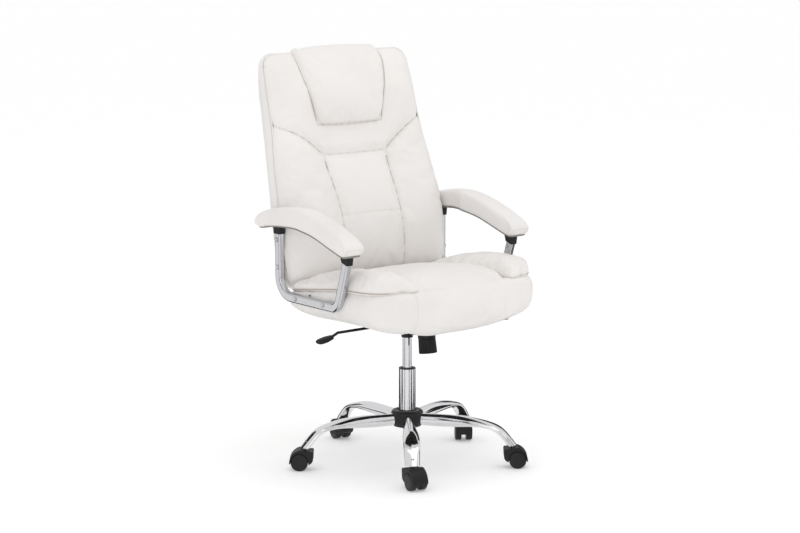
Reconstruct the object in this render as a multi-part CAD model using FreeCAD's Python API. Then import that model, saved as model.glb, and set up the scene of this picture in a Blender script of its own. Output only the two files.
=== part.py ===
"""High-back executive swivel chair, drawn as its separate pieces.

Millimetres.  The origin is on the floor under the column's axis, +Z is up, the seat's front
faces -Y and the sitter's left hand is at +X.  Each piece is written to parts/NAME.step.
"""
import FreeCAD, Part
import math
import os

V = FreeCAD.Vector
X_AXIS = V(1, 0, 0)
Y_AXIS = V(0, 1, 0)
Z_AXIS = V(0, 0, 1)
ORIGIN = V(0, 0, 0)

# ---- clearances -------------------------------------------------------------------------
RUNNING = 0.05            # radial clearance of a shaft that turns or slides in its hole
SOFT_GAP = 0.3            # gap that keeps curved upholstery off its neighbours
LOOSE = 0.6               # gap round a part that passes through a moulded hole

# ---- five-star base ---------------------------------------------------------------------
LEG_COUNT = 5
FIRST_LEG_ANGLE = -36.0   # degrees round from the front, towards +X
STEM_CIRCLE_R = 309.0     # radius at which the castor stems stand
LEG_WALL = 1.8
LEG_END = 17.0            # from the top of a castor wheel to the cut end of each leg
LEG_ROOT_HEIGHT = 38.0
LEG_ROOT_WIDTH = 30.0
LEG_BEND_WIDTH = 48.0
LEG_TIP_WIDTH = 42.0
LEG_TIP_THICKNESS = 20.0
LEG_AXIS_Z = 124.0        # height of a leg's centre at the hub
HUB_WALL = 4.5
HUB_BOTTOM_Z = 104.0
HUB_HEIGHT = 44.0
COVER_R = 47.0
COVER_WALL = 2.6
COVER_BOTTOM_Z = 105.0
COVER_TOP_Z = 152.0

# ---- castors ----------------------------------------------------------------------------
WHEEL_R = 25.0
WHEEL_WIDTH = 19.5
WHEEL_SIDE_GAP = 0.8      # between a wheel and the web of the hood
CASTER_TRAIL = 21.0       # from the stem's axis back to the axle
WEB_WIDTH = 13.0
HOOD_WIDTH = 48.0
HOOD_COVER = 12.0         # from the top of a wheel to the top of the hood
STEM_SEAT = 7.5           # from the top of a wheel to the seat of the stem
AXLE_R = 3.0
STEM_R = 5.5
STEM_DEPTH = 18.0         # length of the stem held inside the leg
STEM_DROP = 14.0          # from the top of a wheel down to the foot of the stem
STEM_COLLAR_R = 8.5
STEM_COLLAR_HEIGHT = 3.0
# Where each castor trails, in degrees from the front towards +X.
CASTER_HEADINGS = (-12.0, 51.3, -35.0, 171.0, -128.7)

# ---- gas lift ---------------------------------------------------------------------------
COLUMN_R = 25.0
COLUMN_WALL = 1.6
COLUMN_BOTTOM_Z = 100.0
COLUMN_TOP_Z = 275.0
COLUMN_FLOOR = 4.0
BUSH_LENGTH = 60.0
BUSH_RIM = 2.0
LIFT_R = 14.0
LIFT_WALL = 1.4
LIFT_BOTTOM_Z = 205.0
LIFT_TAPER_Z = 366.0      # the taper starts here
LIFT_TOP_Z = 400.0
LIFT_TOP_R = 13.3
ROD_R = 5.0
PISTON_HEIGHT = 12.0
BEARING_R = 13.0
BEARING_HEIGHT = 6.0
CLIP_R = 9.0
CLIP_THICKNESS = 2.2
CLIP_GROOVE = 1.0         # depth of the groove in the rod
BUTTON_R = 4.0
BUTTON_GAP = 0.3          # between the button and the lever above it
BUTTON_LENGTH = 23.0

# ---- tilt mechanism ---------------------------------------------------------------------
PLATE = 3.0               # thickness of its steel plates
SOCKET_R = 17.0
SOCKET_BOTTOM_Z = 368.0
HOUSING_HALF_X = 38.0
HOUSING_FRONT_Y = -52.0
HOUSING_REAR_Y = 48.0
HOUSING_BOTTOM_Z = 386.0
TILT_PIVOT_Y = -28.0
TILT_PIVOT_Z = 410.0
TILT_PIN_R = 5.0
SEAT_PLATE_Z = 430.0      # underside of the plate that the seat is screwed to
SEAT_PLATE_HALF_X = 95.0
SEAT_PLATE_FRONT_Y = -115.0
SEAT_PLATE_REAR_Y = 95.0
SPRING_Y = -83.0
CAN_R = 25.5
CAN_WALL = 2.0
CAN_BOTTOM_Z = 378.0
TONGUE_Z = 419.0
TONGUE_THICKNESS = 5.0
TONGUE_HALF_X = 10.0
TONGUE_PAD_R = 19.5
SPRING_LEAN = 8.0         # degrees by which the spring, its can and the knob lean, foot forward
SPRING_R = 18.0
SPRING_WIRE_R = 2.0
SPRING_TURNS = 4.0
SPRING_SEAT_TRAVEL = 3.0
BOLT_R = 4.0
KNOB_R = 26.5
KNOB_BOTTOM_Z = 335.0
KNOB_TOP_Z = 376.0
KNOB_FLUTES = 22
KNOB_FLUTE_R = 2.2
SEAT_SCREW_HALF_X = 80.0
SEAT_SCREW_HALF_Y = 75.0
SEAT_SCREW_R = 3.0

# ---- height and tilt-lock lever ---------------------------------------------------------
LEVER_Z = 412.0
LEVER_ROD_R = 4.0
LEVER_PIVOT_X = -49.0
LEVER_INNER_X = 12.0
LEVER_BEND_X = -252.0
LEVER_DROP_X = -270.0
LEVER_DROP_Z = 404.0
GRIP_END_X = -323.0
GRIP_END_Z = 390.0
GRIP_WIDTH = 30.0
GRIP_THICKNESS = 12.0

# ---- arms -------------------------------------------------------------------------------
ARM_INNER_X = 291.0
ARM_TUBE_X = 20.0
ARM_TUBE_DEPTH = 26.0
ARM_TUBE_WALL = 2.0
ARM_REAR_Y = 210.5
ARM_REAR_TOP_Z = 675.0
ARM_BAR_Z = 497.0
ARM_FRONT_FOOT_Y = -68.0
ARM_FRONT_TOP_Y = -110.5
ARM_FRONT_TOP_Z = 629.0
ARM_REAR_BEND_R = 57.0
ARM_FRONT_BEND_R = 32.0
ARM_BOLTS_TO_SEAT = ((124.0, 498.0), (-8.0, 500.0))      # y, z of the bolts into the seat's rails
ARM_BOLTS_TO_BACK = ((213.0, 658.0), (208.5, 579.0))     # y, z of the bolts into the back's blocks
ARM_BOLT_R = 3.0
ARM_BOLT_HEAD_R = 7.0
ARM_BOLT_HEAD = 3.5
ARM_BOLT_BITE = 16.0      # length of the bolt inside the wood
ARM_BOLT_HOLE = 51.0      # depth of the hole behind the tube
PAD_WIDTH = 68.0
PAD_OVERHANG = 27.0       # how far the pad stands out past the tube
PAD_WAIST_Y = 95.0        # behind this the pad narrows to pass outside the backrest
PAD_REAR_Y = 145.0
# The arm pad's upper and lower outlines, as y and z from the rear to the front.
PAD_TOP = (
    (281.0, 713.0), (274.0, 727.0), (234.0, 741.0), (180.0, 753.0), (110.0, 760.0), (60.0, 758.0),
    (0.0, 746.0), (-60.0, 727.0), (-105.0, 709.0), (-136.0, 693.0), (-145.0, 677.0),
)
PAD_BOTTOM = (
    (268.0, 687.0), (225.0, 696.5), (181.0, 702.0), (140.0, 705.0), (110.0, 705.5), (60.0, 700.0),
    (6.0, 690.0), (-62.0, 669.0), (-116.0, 653.0), (-134.0, 652.0),
)

# ---- seat -------------------------------------------------------------------------------
BOARD_THICKNESS = 14.0
SEAT_FRONT_Y = -292.0
SEAT_SHOULDER_Y = -278.0  # front of the seat beside the centre panel
SEAT_REAR_Y = 147.0
SEAT_CORNER_R = 95.0
SEAT_LOW_EDGE_Z = 466.0   # height of the lower edge along the sides
CENTRE_HALF_X = 172.0
FRONT_PANEL_BOTTOM_Z = 442.0
RAIL_TOP_Z = 512.0
RAIL_THICKNESS = 14.0
RAIL_FRONT_Y = -60.0
RAIL_REAR_Y = 142.0
BOARD_FRONT_Y = -235.0
BOARD_HALF_X = 190.0
BOLSTER_FRONT_Y = -262.0
BOLSTER_REAR_Y = 136.0
BOLSTER_HEIGHT = 47.0

# ---- backrest ---------------------------------------------------------------------------
BACK_BOARD_THICKNESS = 12.0
BACK_COVER_THICKNESS = 10.0
BACK_BLOCK_THICKNESS = 18.0
BACK_BLOCK_INSET = 7.0    # from the arm tube in to the block
BACK_BLOCK_Y = (198.0, 246.0)
BACK_BLOCK_Z = (562.0, 676.0)
# One row per level of the backrest: height, how far each side is drawn in from the seat's
# half width, y of the centre panel, y of the crown of the side wings, y of the side piping,
# y of the back face.
BACK_LEVELS = (
    (512.0, 58.7, 182.0, 180.0, 204.0, 240.0),
    (535.0, 24.7, 160.0, 156.0, 194.0, 244.0),
    (590.0, 2.7, 145.0, 140.0, 197.0, 252.0),
    (690.0, 1.2, 148.0, 141.0, 217.0, 267.0),
    (760.0, 3.7, 181.0, 160.0, 231.0, 280.0),
    (860.0, 10.7, 240.0, 208.0, 259.0, 305.0),
    (970.0, 22.7, 285.0, 266.0, 284.0, 340.0),
    (1080.0, 23.7, 300.0, 283.0, 316.0, 363.0),
    (1140.0, 34.7, 318.0, 308.0, 336.0, 369.0),
    (1172.0, 68.7, 338.0, 336.0, 346.0, 368.0),
)
# One row per level of the head pad: height, half width, y of its front, y of its rear.
HEAD_PAD_LEVELS = (
    (970.0, 116.0, 279.0, 300.0),
    (985.0, 120.0, 265.0, 300.0),
    (1020.0, 128.0, 264.0, 305.0),
    (1060.0, 138.0, 272.0, 315.0),
    (1110.0, 150.0, 289.0, 330.0),
    (1150.0, 158.0, 308.0, 345.0),
    (1178.0, 158.0, 328.0, 366.0),
    (1190.0, 152.0, 346.0, 364.0),
)
# The line where the seat's upper cushions lie on the lower one, and the top of the centre
# panel, as y and z from the front to the rear.
SEAT_GROOVE = ((-320.0, 561.0), (-250.0, 557.0), (-40.0, 545.0), (140.0, 520.0), (240.0, 506.0))
SEAT_FLAT = ((-150.0, 580.0), (60.0, 556.0))     # the flat stretch of the centre panel

# ---- values that follow from the ones above ---------------------------------------------
HUB_R = COLUMN_R + HUB_WALL
SEAT_HALF_X = ARM_INNER_X - SOFT_GAP
ARM_OUTER_X = ARM_INNER_X + ARM_TUBE_X
PAD_OUTER_X = ARM_OUTER_X + PAD_OVERHANG
BOARD_TOP_Z = SEAT_PLATE_Z + PLATE + BOARD_THICKNESS
WHEEL_INNER_Y = WEB_WIDTH / 2 + WHEEL_SIDE_GAP
WHEEL_TOP_Z = 2 * WHEEL_R
HOOD_TOP_Z = WHEEL_TOP_Z + HOOD_COVER
STEM_SEAT_Z = WHEEL_TOP_Z + STEM_SEAT
STEM_BOTTOM_Z = WHEEL_TOP_Z - STEM_DROP
LEG_END_Z = WHEEL_TOP_Z + LEG_END


# ---- helpers ----------------------------------------------------------------------------
def save(name, *shapes):
    """Write one node as a STEP file; several separate solids make one group."""
    solids = [solid for shape in shapes for solid in shape.Solids]
    whole = solids[0] if len(solids) == 1 else Part.makeCompound(solids)
    whole.exportStep("parts/" + name + ".step")


def box(x0, x1, y0, y1, z0, z1):
    return Part.makeBox(x1 - x0, y1 - y0, z1 - z0, V(x0, y0, z0))


def rod_z(radius, z0, z1, x=0.0, y=0.0):
    return Part.makeCylinder(radius, z1 - z0, V(x, y, z0), Z_AXIS)


def rod_x(radius, x0, x1, y, z):
    return Part.makeCylinder(radius, x1 - x0, V(x0, y, z), X_AXIS)


def rod_y(radius, y0, y1, x, z):
    return Part.makeCylinder(radius, y1 - y0, V(x, y0, z), Y_AXIS)


def tube_z(outer, inner, z0, z1, x=0.0, y=0.0):
    return rod_z(outer, z0, z1, x, y).cut(rod_z(inner, z0, z1, x, y))


def polygon(points):
    """A flat face bounded by straight edges."""
    return Part.Face(Part.makePolygon(list(points) + [points[0]]))


def extrude_x(yz_points, x0, x1):
    return polygon([V(x0, y, z) for y, z in yz_points]).extrude(V(x1 - x0, 0, 0))


def mirrored(shape):
    """The same piece on the other side of the chair."""
    return shape.mirror(ORIGIN, X_AXIS)


def smooth_loop(points):
    """A closed wire: one smooth curve through the points."""
    curve = Part.BSplineCurve()
    curve.interpolate(Points=points, PeriodicFlag=True)
    return Part.Wire(curve.toShape())


def heading(degrees):
    """The horizontal direction that stands so many degrees round from the front."""
    angle = math.radians(degrees)
    return V(math.sin(angle), -math.cos(angle), 0)


def turned(shape, degrees):
    """A copy of a shape drawn towards the front, turned to a heading."""
    copy = shape.copy()
    copy.rotate(ORIGIN, Z_AXIS, degrees)
    return copy


# ---- five-star base ---------------------------------------------------------------------
def leg_stations():
    """Along one leg: radius, height, slope in degrees, thickness and width of the tube."""
    tip_r = STEM_CIRCLE_R + 4
    return (
        (20.0, LEG_AXIS_Z, 0.0, LEG_ROOT_HEIGHT, LEG_ROOT_WIDTH),
        (90.0, LEG_AXIS_Z + 1.5, 0.0, LEG_ROOT_HEIGHT - 1, LEG_ROOT_WIDTH + 2),
        (150.0, LEG_AXIS_Z + 2.5, -2.0, LEG_ROOT_HEIGHT - 3, LEG_ROOT_WIDTH + 8),
        (205.0, LEG_AXIS_Z + 1.5, -10.0, LEG_TIP_THICKNESS + 6, LEG_BEND_WIDTH - 2),
        (tip_r - 68, LEG_AXIS_Z - 4.5, -22.0, LEG_TIP_THICKNESS - 1, LEG_BEND_WIDTH),
        (tip_r - 39, LEG_END_Z + 41, -36.0, LEG_TIP_THICKNESS - 2, LEG_BEND_WIDTH - 1),
        (tip_r - 19, LEG_END_Z + 23, -46.0, LEG_TIP_THICKNESS - 1, LEG_BEND_WIDTH - 3),
        (tip_r, LEG_END_Z, -50.0, LEG_TIP_THICKNESS, LEG_TIP_WIDTH),
        (tip_r + 12, LEG_END_Z - 15, -51.0, LEG_TIP_THICKNESS, LEG_TIP_WIDTH),
    )


def leg_loft(grow, first, last):
    """The leg's oval tube towards the front, its surface moved out by grow."""
    wires = []
    for radius, height, slope, thickness, width in leg_stations()[first:last]:
        up = V(0, math.sin(math.radians(slope)), math.cos(math.radians(slope)))
        half_t = thickness / 2 + grow
        half_w = width / 2 + grow
        ring = []
        for step in range(12):
            angle = math.radians(30 * step)
            ring.append(V(half_w * math.sin(angle), -radius, height) + up * (half_t * math.cos(angle)))
        wires.append(smooth_loop(ring))
    return Part.makeLoft(wires, True, False)


def make_base():
    leg = leg_loft(0.0, 0, 9).cut(leg_loft(-LEG_WALL, 0, 7))
    leg = leg.cut(rod_z(HUB_R, 0, 200))
    leg = leg.cut(box(-60, 60, -2 * STEM_CIRCLE_R, 0, 0, LEG_END_Z))
    leg = leg.cut(rod_z(STEM_R, 0, LEG_END_Z + STEM_DEPTH, 0, -STEM_CIRCLE_R))

    cover = rod_z(COVER_R, COVER_BOTTOM_Z, COVER_TOP_Z)
    cover = cover.makeFillet(6.0, [e for e in cover.Edges if e.BoundBox.ZMin > COVER_TOP_Z - 1])
    cover = cover.cut(rod_z(COVER_R - COVER_WALL, COVER_BOTTOM_Z, COVER_TOP_Z - COVER_WALL))
    cover = cover.cut(rod_z(COLUMN_R + LOOSE, COVER_BOTTOM_Z, COVER_TOP_Z))
    slot = leg_loft(LOOSE, 0, 9)

    stems = []
    for k in range(LEG_COUNT):
        angle = FIRST_LEG_ANGLE + 360.0 * k / LEG_COUNT
        save("base_leg_%d" % (k + 1), turned(leg, angle))
        cover = cover.cut(turned(slot, angle))
        foot = heading(angle) * STEM_CIRCLE_R
        stem = rod_z(STEM_R, STEM_BOTTOM_Z, LEG_END_Z + STEM_DEPTH, foot.x, foot.y)
        collar = rod_z(STEM_COLLAR_R, LEG_END_Z - STEM_COLLAR_HEIGHT, LEG_END_Z, foot.x, foot.y)
        stems.append(stem.fuse(collar).removeSplitter())
        make_caster(k + 1, foot, CASTER_HEADINGS[k])
    save("caster_stems", *stems)
    save("hub_cover", cover)
    save("base_hub", tube_z(HUB_R, COLUMN_R, HUB_BOTTOM_Z, HUB_BOTTOM_Z + HUB_HEIGHT))


# ---- castors, drawn trailing towards the front from a stem at the origin -----------------
def caster_hood():
    """Side view: a mudguard over the wheels, a boss round the stem and a web between the wheels."""
    tip = V(0, -(CASTER_TRAIL + WHEEL_R + 4.6), WHEEL_R - 3)
    crown = V(0, -CASTER_TRAIL, HOOD_TOP_Z)
    shoulder = V(0, -(CASTER_TRAIL + WHEEL_R - 3.5), HOOD_TOP_Z - 15)
    corners = [
        crown,
        V(0, -9, HOOD_TOP_Z - 0.5),
        V(0, -9, STEM_SEAT_Z),
        V(0, 17, STEM_SEAT_Z),
        V(0, 19.6, STEM_SEAT_Z - 3),
        V(0, 18.4, WHEEL_R + 7),
        V(0, 15, WHEEL_R),
        V(0, 8.5, WHEEL_R - 5),
        V(0, -(CASTER_TRAIL + 12), WHEEL_R - 6.5),
        tip,
    ]
    edges = [Part.Arc(tip, shoulder, crown).toShape()]
    edges += [Part.makeLine(a, b) for a, b in zip(corners, corners[1:])]
    profile = Part.Face(Part.Wire(edges))
    profile.translate(V(-HOOD_WIDTH / 2, 0, 0))
    hood = profile.extrude(V(HOOD_WIDTH, 0, 0))
    for side in (-1, 1):
        x0, x1 = sorted((side * WEB_WIDTH / 2, side * HOOD_WIDTH))
        hood = hood.cut(rod_x(WHEEL_R + 1.2, x0, x1, -CASTER_TRAIL, WHEEL_R))
    hood = hood.cut(rod_z(STEM_R + RUNNING, STEM_BOTTOM_Z - SOFT_GAP, HOOD_TOP_Z))
    return hood.cut(rod_x(AXLE_R, -HOOD_WIDTH, HOOD_WIDTH, -CASTER_TRAIL, WHEEL_R))


def caster_wheel():
    """The wheel on the +X side: a flat tread, a rounded shoulder and a slightly domed face."""
    hub_x = WHEEL_INNER_Y + WHEEL_WIDTH - 2.4
    bore = AXLE_R + RUNNING
    points = [
        V(WHEEL_INNER_Y, 0, bore),
        V(WHEEL_INNER_Y, 0, WHEEL_R - 1.5),
        V(WHEEL_INNER_Y + 1.5, 0, WHEEL_R),
        V(WHEEL_INNER_Y + WHEEL_WIDTH - 4.5, 0, WHEEL_R),
        V(WHEEL_INNER_Y + WHEEL_WIDTH - 2, 0, WHEEL_R - 1),
        V(WHEEL_INNER_Y + WHEEL_WIDTH - 1, 0, WHEEL_R - 3.5),
        V(WHEEL_INNER_Y + WHEEL_WIDTH, 0, WHEEL_R * 0.5),
        V(WHEEL_INNER_Y + WHEEL_WIDTH, 0, 0),
        V(hub_x, 0, 0),
        V(hub_x, 0, bore),
    ]
    wheel = polygon(points).revolve(ORIGIN, X_AXIS, 360)
    wheel.translate(V(0, -CASTER_TRAIL, WHEEL_R))
    return wheel


def make_caster(number, foot, degrees):
    axle_half = WHEEL_INNER_Y + WHEEL_WIDTH - 2.4 - SOFT_GAP
    pieces = {
        "caster_hood_%d": caster_hood(),
        "caster_axle_%d": rod_x(AXLE_R, -axle_half, axle_half, -CASTER_TRAIL, WHEEL_R),
        "caster_wheel_left_%d": caster_wheel(),
        "caster_wheel_right_%d": mirrored(caster_wheel()),
    }
    for name, shape in pieces.items():
        placed = turned(shape, degrees)
        placed.translate(foot)
        save(name % number, placed)


# ---- gas lift ---------------------------------------------------------------------------
def make_gas_lift():
    column = tube_z(COLUMN_R, COLUMN_R - COLUMN_WALL, COLUMN_BOTTOM_Z, COLUMN_TOP_Z)
    floor = tube_z(COLUMN_R - COLUMN_WALL, ROD_R + RUNNING, COLUMN_BOTTOM_Z, COLUMN_BOTTOM_Z + COLUMN_FLOOR)
    save("column_tube", column.fuse(floor).removeSplitter())

    bush = rod_z(COLUMN_R - COLUMN_WALL, COLUMN_TOP_Z - BUSH_LENGTH, COLUMN_TOP_Z)
    bush = bush.fuse(rod_z(COLUMN_R - 0.6, COLUMN_TOP_Z, COLUMN_TOP_Z + BUSH_RIM)).removeSplitter()
    save("guide_bush", bush.cut(rod_z(LIFT_R + RUNNING, 0, 2 * COLUMN_TOP_Z)))

    bearing_z = COLUMN_BOTTOM_Z + COLUMN_FLOOR
    shoulder_z = bearing_z + BEARING_HEIGHT
    save("thrust_bearing", tube_z(BEARING_R, ROD_R, bearing_z, shoulder_z))
    clip_top_z = COLUMN_BOTTOM_Z - SOFT_GAP
    clip_z = clip_top_z - CLIP_THICKNESS
    save("retaining_clip", tube_z(CLIP_R, ROD_R - CLIP_GROOVE, clip_z, clip_top_z))

    chamber_r = LIFT_R - LIFT_WALL
    chamber_z = LIFT_BOTTOM_Z + 4
    rod = rod_z(ROD_R, clip_z - 3, chamber_z + PISTON_HEIGHT)
    rod = rod.fuse(rod_z(ROD_R + 3, shoulder_z, shoulder_z + 4))
    rod = rod.fuse(rod_z(chamber_r - RUNNING, chamber_z + 1, chamber_z + PISTON_HEIGHT)).removeSplitter()
    save("piston_rod", rod.cut(tube_z(CLIP_R, ROD_R - CLIP_GROOVE, clip_z, clip_top_z)))

    lift = rod_z(LIFT_R, LIFT_BOTTOM_Z, LIFT_TAPER_Z)
    taper = Part.makeCone(LIFT_R, LIFT_TOP_R, LIFT_TOP_Z - LIFT_TAPER_Z, V(0, 0, LIFT_TAPER_Z))
    lift = lift.fuse(taper).removeSplitter()
    lift = lift.cut(rod_z(chamber_r, chamber_z, LIFT_TAPER_Z - 10))
    lift = lift.cut(rod_z(ROD_R + RUNNING, LIFT_BOTTOM_Z, chamber_z))
    button_top = LEVER_Z - LEVER_ROD_R - BUTTON_GAP
    button_bottom = button_top - BUTTON_LENGTH
    save("pressure_tube", lift.cut(rod_z(BUTTON_R + RUNNING, button_bottom - 4, LIFT_TOP_Z)))
    save("valve_button", rod_z(BUTTON_R, button_bottom, button_top))


# ---- tilt mechanism ---------------------------------------------------------------------
def make_mechanism():
    pivot = (TILT_PIVOT_Y, TILT_PIVOT_Z)
    half = HOUSING_HALF_X
    wall_profile = [
        (HOUSING_FRONT_Y, HOUSING_BOTTOM_Z),
        (HOUSING_REAR_Y, HOUSING_BOTTOM_Z),
        (HOUSING_REAR_Y, TILT_PIVOT_Z - 6),
        (HOUSING_REAR_Y - 60, TONGUE_Z + TONGUE_THICKNESS),
        (HOUSING_FRONT_Y, TONGUE_Z + TONGUE_THICKNESS),
    ]
    wall = extrude_x(wall_profile, -half, -half + PLATE)
    floor = box(-half, half, HOUSING_FRONT_Y, HOUSING_REAR_Y, HOUSING_BOTTOM_Z, HOUSING_BOTTOM_Z + PLATE)
    front = box(-half, half, HOUSING_FRONT_Y, HOUSING_FRONT_Y + PLATE, HOUSING_BOTTOM_Z, TONGUE_Z)
    tongue_top = TONGUE_Z + TONGUE_THICKNESS
    tongue = box(-TONGUE_HALF_X, TONGUE_HALF_X, SPRING_Y, HOUSING_FRONT_Y + PLATE, TONGUE_Z, tongue_top)
    tongue_pad = lean(rod_z(TONGUE_PAD_R, TONGUE_Z, tongue_top, 0, SPRING_Y))
    socket = rod_z(SOCKET_R, SOCKET_BOTTOM_Z, LIFT_TOP_Z + 1)
    lugs = [
        box(LEVER_PIVOT_X - 7, -half, y, y + PLATE, LEVER_Z - 8, LEVER_Z + 6) for y in (-12.0, 9.0)
    ]
    housing = floor.multiFuse([wall, mirrored(wall), front, tongue, tongue_pad, socket] + lugs)
    housing = housing.removeSplitter()
    taper = Part.makeCone(
        LIFT_R, LIFT_TOP_R, LIFT_TOP_Z - LIFT_TAPER_Z, V(0, 0, LIFT_TAPER_Z)
    )
    housing = housing.cut(taper).cut(rod_z(BUTTON_R + 2, LIFT_TOP_Z, TONGUE_Z))
    housing = housing.cut(lean(rod_z(BOLT_R + 3, TONGUE_Z - 5, tongue_top + 5, 0, SPRING_Y)))
    housing = housing.cut(rod_x(TILT_PIN_R, -half, half, *pivot))
    housing = housing.cut(box(-half, -half + PLATE, -7, 7, LEVER_Z - 8, tongue_top))
    housing = housing.cut(rod_y(2.5 + RUNNING, -12, 12, LEVER_PIVOT_X, LEVER_Z))
    save("mechanism_housing", housing)
    save("pivot_pin", rod_x(TILT_PIN_R, -half - 7, half + 7, *pivot))

    plate_top = SEAT_PLATE_Z + PLATE
    half_x = SEAT_PLATE_HALF_X
    plate = box(-half_x, half_x, SEAT_PLATE_FRONT_Y, SEAT_PLATE_REAR_Y, SEAT_PLATE_Z, plate_top)
    ear_profile = [
        (TILT_PIVOT_Y - 14, SEAT_PLATE_Z),
        (TILT_PIVOT_Y - 10, TILT_PIVOT_Z - 10),
        (TILT_PIVOT_Y + 10, TILT_PIVOT_Z - 10),
        (TILT_PIVOT_Y + 14, SEAT_PLATE_Z),
    ]
    ear = extrude_x(ear_profile, half + 0.5, half + 0.5 + PLATE)
    can = tube_z(CAN_R, CAN_R - CAN_WALL, CAN_BOTTOM_Z, plate_top + 2, 0, SPRING_Y)
    can_floor = rod_z(CAN_R, CAN_BOTTOM_Z, CAN_BOTTOM_Z + PLATE, 0, SPRING_Y)
    slot_half = TONGUE_HALF_X + 2
    slot = box(-slot_half, slot_half, SPRING_Y + 10, SPRING_Y + CAN_R, TONGUE_Z - 14, SEAT_PLATE_Z)
    above = box(-50, 50, SPRING_Y - 50, SPRING_Y + 50, SEAT_PLATE_Z, SEAT_PLATE_Z + 50)
    can = lean(can.cut(slot).fuse(can_floor)).cut(above)
    plate = plate.multiFuse([ear, mirrored(ear), can]).removeSplitter()
    plate = plate.cut(rod_x(TILT_PIN_R + RUNNING, -60, 60, *pivot))
    plate = plate.cut(lean(rod_z(BOLT_R, CAN_BOTTOM_Z, SEAT_PLATE_Z - 1, 0, SPRING_Y)))
    for x, y in seat_screw_places():
        plate = plate.cut(rod_z(SEAT_SCREW_R, SEAT_PLATE_Z, plate_top, x, y))
    save("seat_plate", plate)

    screws = []
    for x, y in seat_screw_places():
        head = rod_z(2 * SEAT_SCREW_R, SEAT_PLATE_Z - 3.5, SEAT_PLATE_Z, x, y)
        shank = rod_z(SEAT_SCREW_R, SEAT_PLATE_Z, BOARD_TOP_Z - 2, x, y)
        screws.append(head.fuse(shank).removeSplitter())
    save("seat_bolts", *screws)

    seat_z = CAN_BOTTOM_Z + PLATE + SPRING_SEAT_TRAVEL + SOFT_GAP
    spring_z = seat_z + PLATE
    save("spring_seat", lean(tube_z(SPRING_R + 3, BOLT_R + RUNNING, seat_z, spring_z, 0, SPRING_Y)))
    make_spring(spring_z, TONGUE_Z)
    save("tension_bolt", lean(rod_z(BOLT_R, KNOB_BOTTOM_Z + 8, SEAT_PLATE_Z - 1, 0, SPRING_Y)))
    make_knob()


def lean(shape):
    """Tilt a piece of the spring stack about its top, foot forward."""
    copy = shape.copy()
    copy.rotate(V(0, SPRING_Y, SEAT_PLATE_Z), X_AXIS, -SPRING_LEAN)
    return copy


def seat_screw_places():
    sides = (-1, 1)
    return [(SEAT_SCREW_HALF_X * i, SEAT_SCREW_HALF_Y * j) for i in sides for j in sides]


def make_spring(bottom_z, top_z):
    """A coil between its seat and the tongue, with a wire radius to spare at both ends."""
    start_z = bottom_z + SPRING_WIRE_R + 0.1
    height = top_z - SPRING_WIRE_R - 0.1 - start_z
    helix = Part.makeHelix(height / SPRING_TURNS, height, SPRING_R)
    section = Part.Wire(Part.makeCircle(SPRING_WIRE_R, V(SPRING_R, 0, 0), Y_AXIS))
    coil = Part.Wire(helix).makePipeShell([section], True, True)
    coil.translate(V(0, SPRING_Y, start_z))
    save("tilt_spring", lean(coil))


def make_knob():
    """A hand knob with grip ribs round it; the bolt runs up inside."""
    knob = Part.makeCone(KNOB_R, KNOB_R - 1.5, KNOB_TOP_Z - KNOB_BOTTOM_Z, V(0, SPRING_Y, KNOB_BOTTOM_Z))
    knob = knob.makeChamfer(1.0, [e for e in knob.Edges if e.BoundBox.ZMax < KNOB_BOTTOM_Z + 1])
    flutes = []
    for step in range(KNOB_FLUTES):
        angle = 2 * math.pi * step / KNOB_FLUTES
        x = (KNOB_R + 0.4) * math.sin(angle)
        y = SPRING_Y + (KNOB_R + 0.4) * math.cos(angle)
        flutes.append(rod_z(KNOB_FLUTE_R, KNOB_BOTTOM_Z - 1, KNOB_TOP_Z - 6, x, y))
    knob = knob.cut(Part.makeCompound(flutes))
    bore_z = KNOB_BOTTOM_Z + 8 - SOFT_GAP
    save("tension_knob", lean(knob.cut(rod_z(BOLT_R + RUNNING, bore_z, KNOB_TOP_Z, 0, SPRING_Y))))


# ---- lever ------------------------------------------------------------------------------
def make_lever():
    rocker = box(LEVER_PIVOT_X - 6, LEVER_PIVOT_X + 6, -8, 8, LEVER_Z - 7, LEVER_Z + 6)
    rocker = rocker.fuse(rod_y(2.5, -12, 12, LEVER_PIVOT_X, LEVER_Z)).removeSplitter()
    rocker = rocker.cut(rod_x(LEVER_ROD_R + RUNNING, -100, 0, 0, LEVER_Z))
    save("lever_rocker", rocker)

    inner = V(LEVER_INNER_X, 0, LEVER_Z)
    bend = V(LEVER_BEND_X, 0, LEVER_Z)
    drop = V(LEVER_DROP_X, 0, LEVER_DROP_Z)
    grip_end = V(GRIP_END_X, 0, GRIP_END_Z)
    inside_grip = drop + (grip_end - drop) * 0.6
    parts = []
    for start, end in ((inner, bend), (bend, drop), (drop, inside_grip)):
        run = end - start
        parts.append(Part.makeCylinder(LEVER_ROD_R, run.Length, start, run))
    balls = [Part.makeSphere(LEVER_ROD_R, corner) for corner in (bend, drop)]
    lever = parts[0].multiFuse(parts[1:] + balls).removeSplitter()
    save("lever_rod", lever)

    along = (grip_end - drop).normalize()
    thick = along.cross(Y_AXIS)
    length = (grip_end - drop).Length
    wires = []
    for share, width, depth in (
        (0.02, 0.42, 0.95), (0.18, 0.55, 1.0), (0.4, 0.95, 0.95), (0.75, 1.0, 0.75), (0.97, 0.72, 0.5)
    ):
        centre = drop + along * (length * share)
        ring = []
        for step in range(12):
            angle = math.radians(30 * step)
            ring.append(
                centre
                + Y_AXIS * (width * GRIP_WIDTH / 2 * math.cos(angle))
                + thick * (depth * GRIP_THICKNESS / 2 * math.sin(angle))
            )
        wires.append(smooth_loop(ring))
    grip = Part.makeLoft(wires, True, False)
    save("lever_grip", grip.cut(lever))


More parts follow.
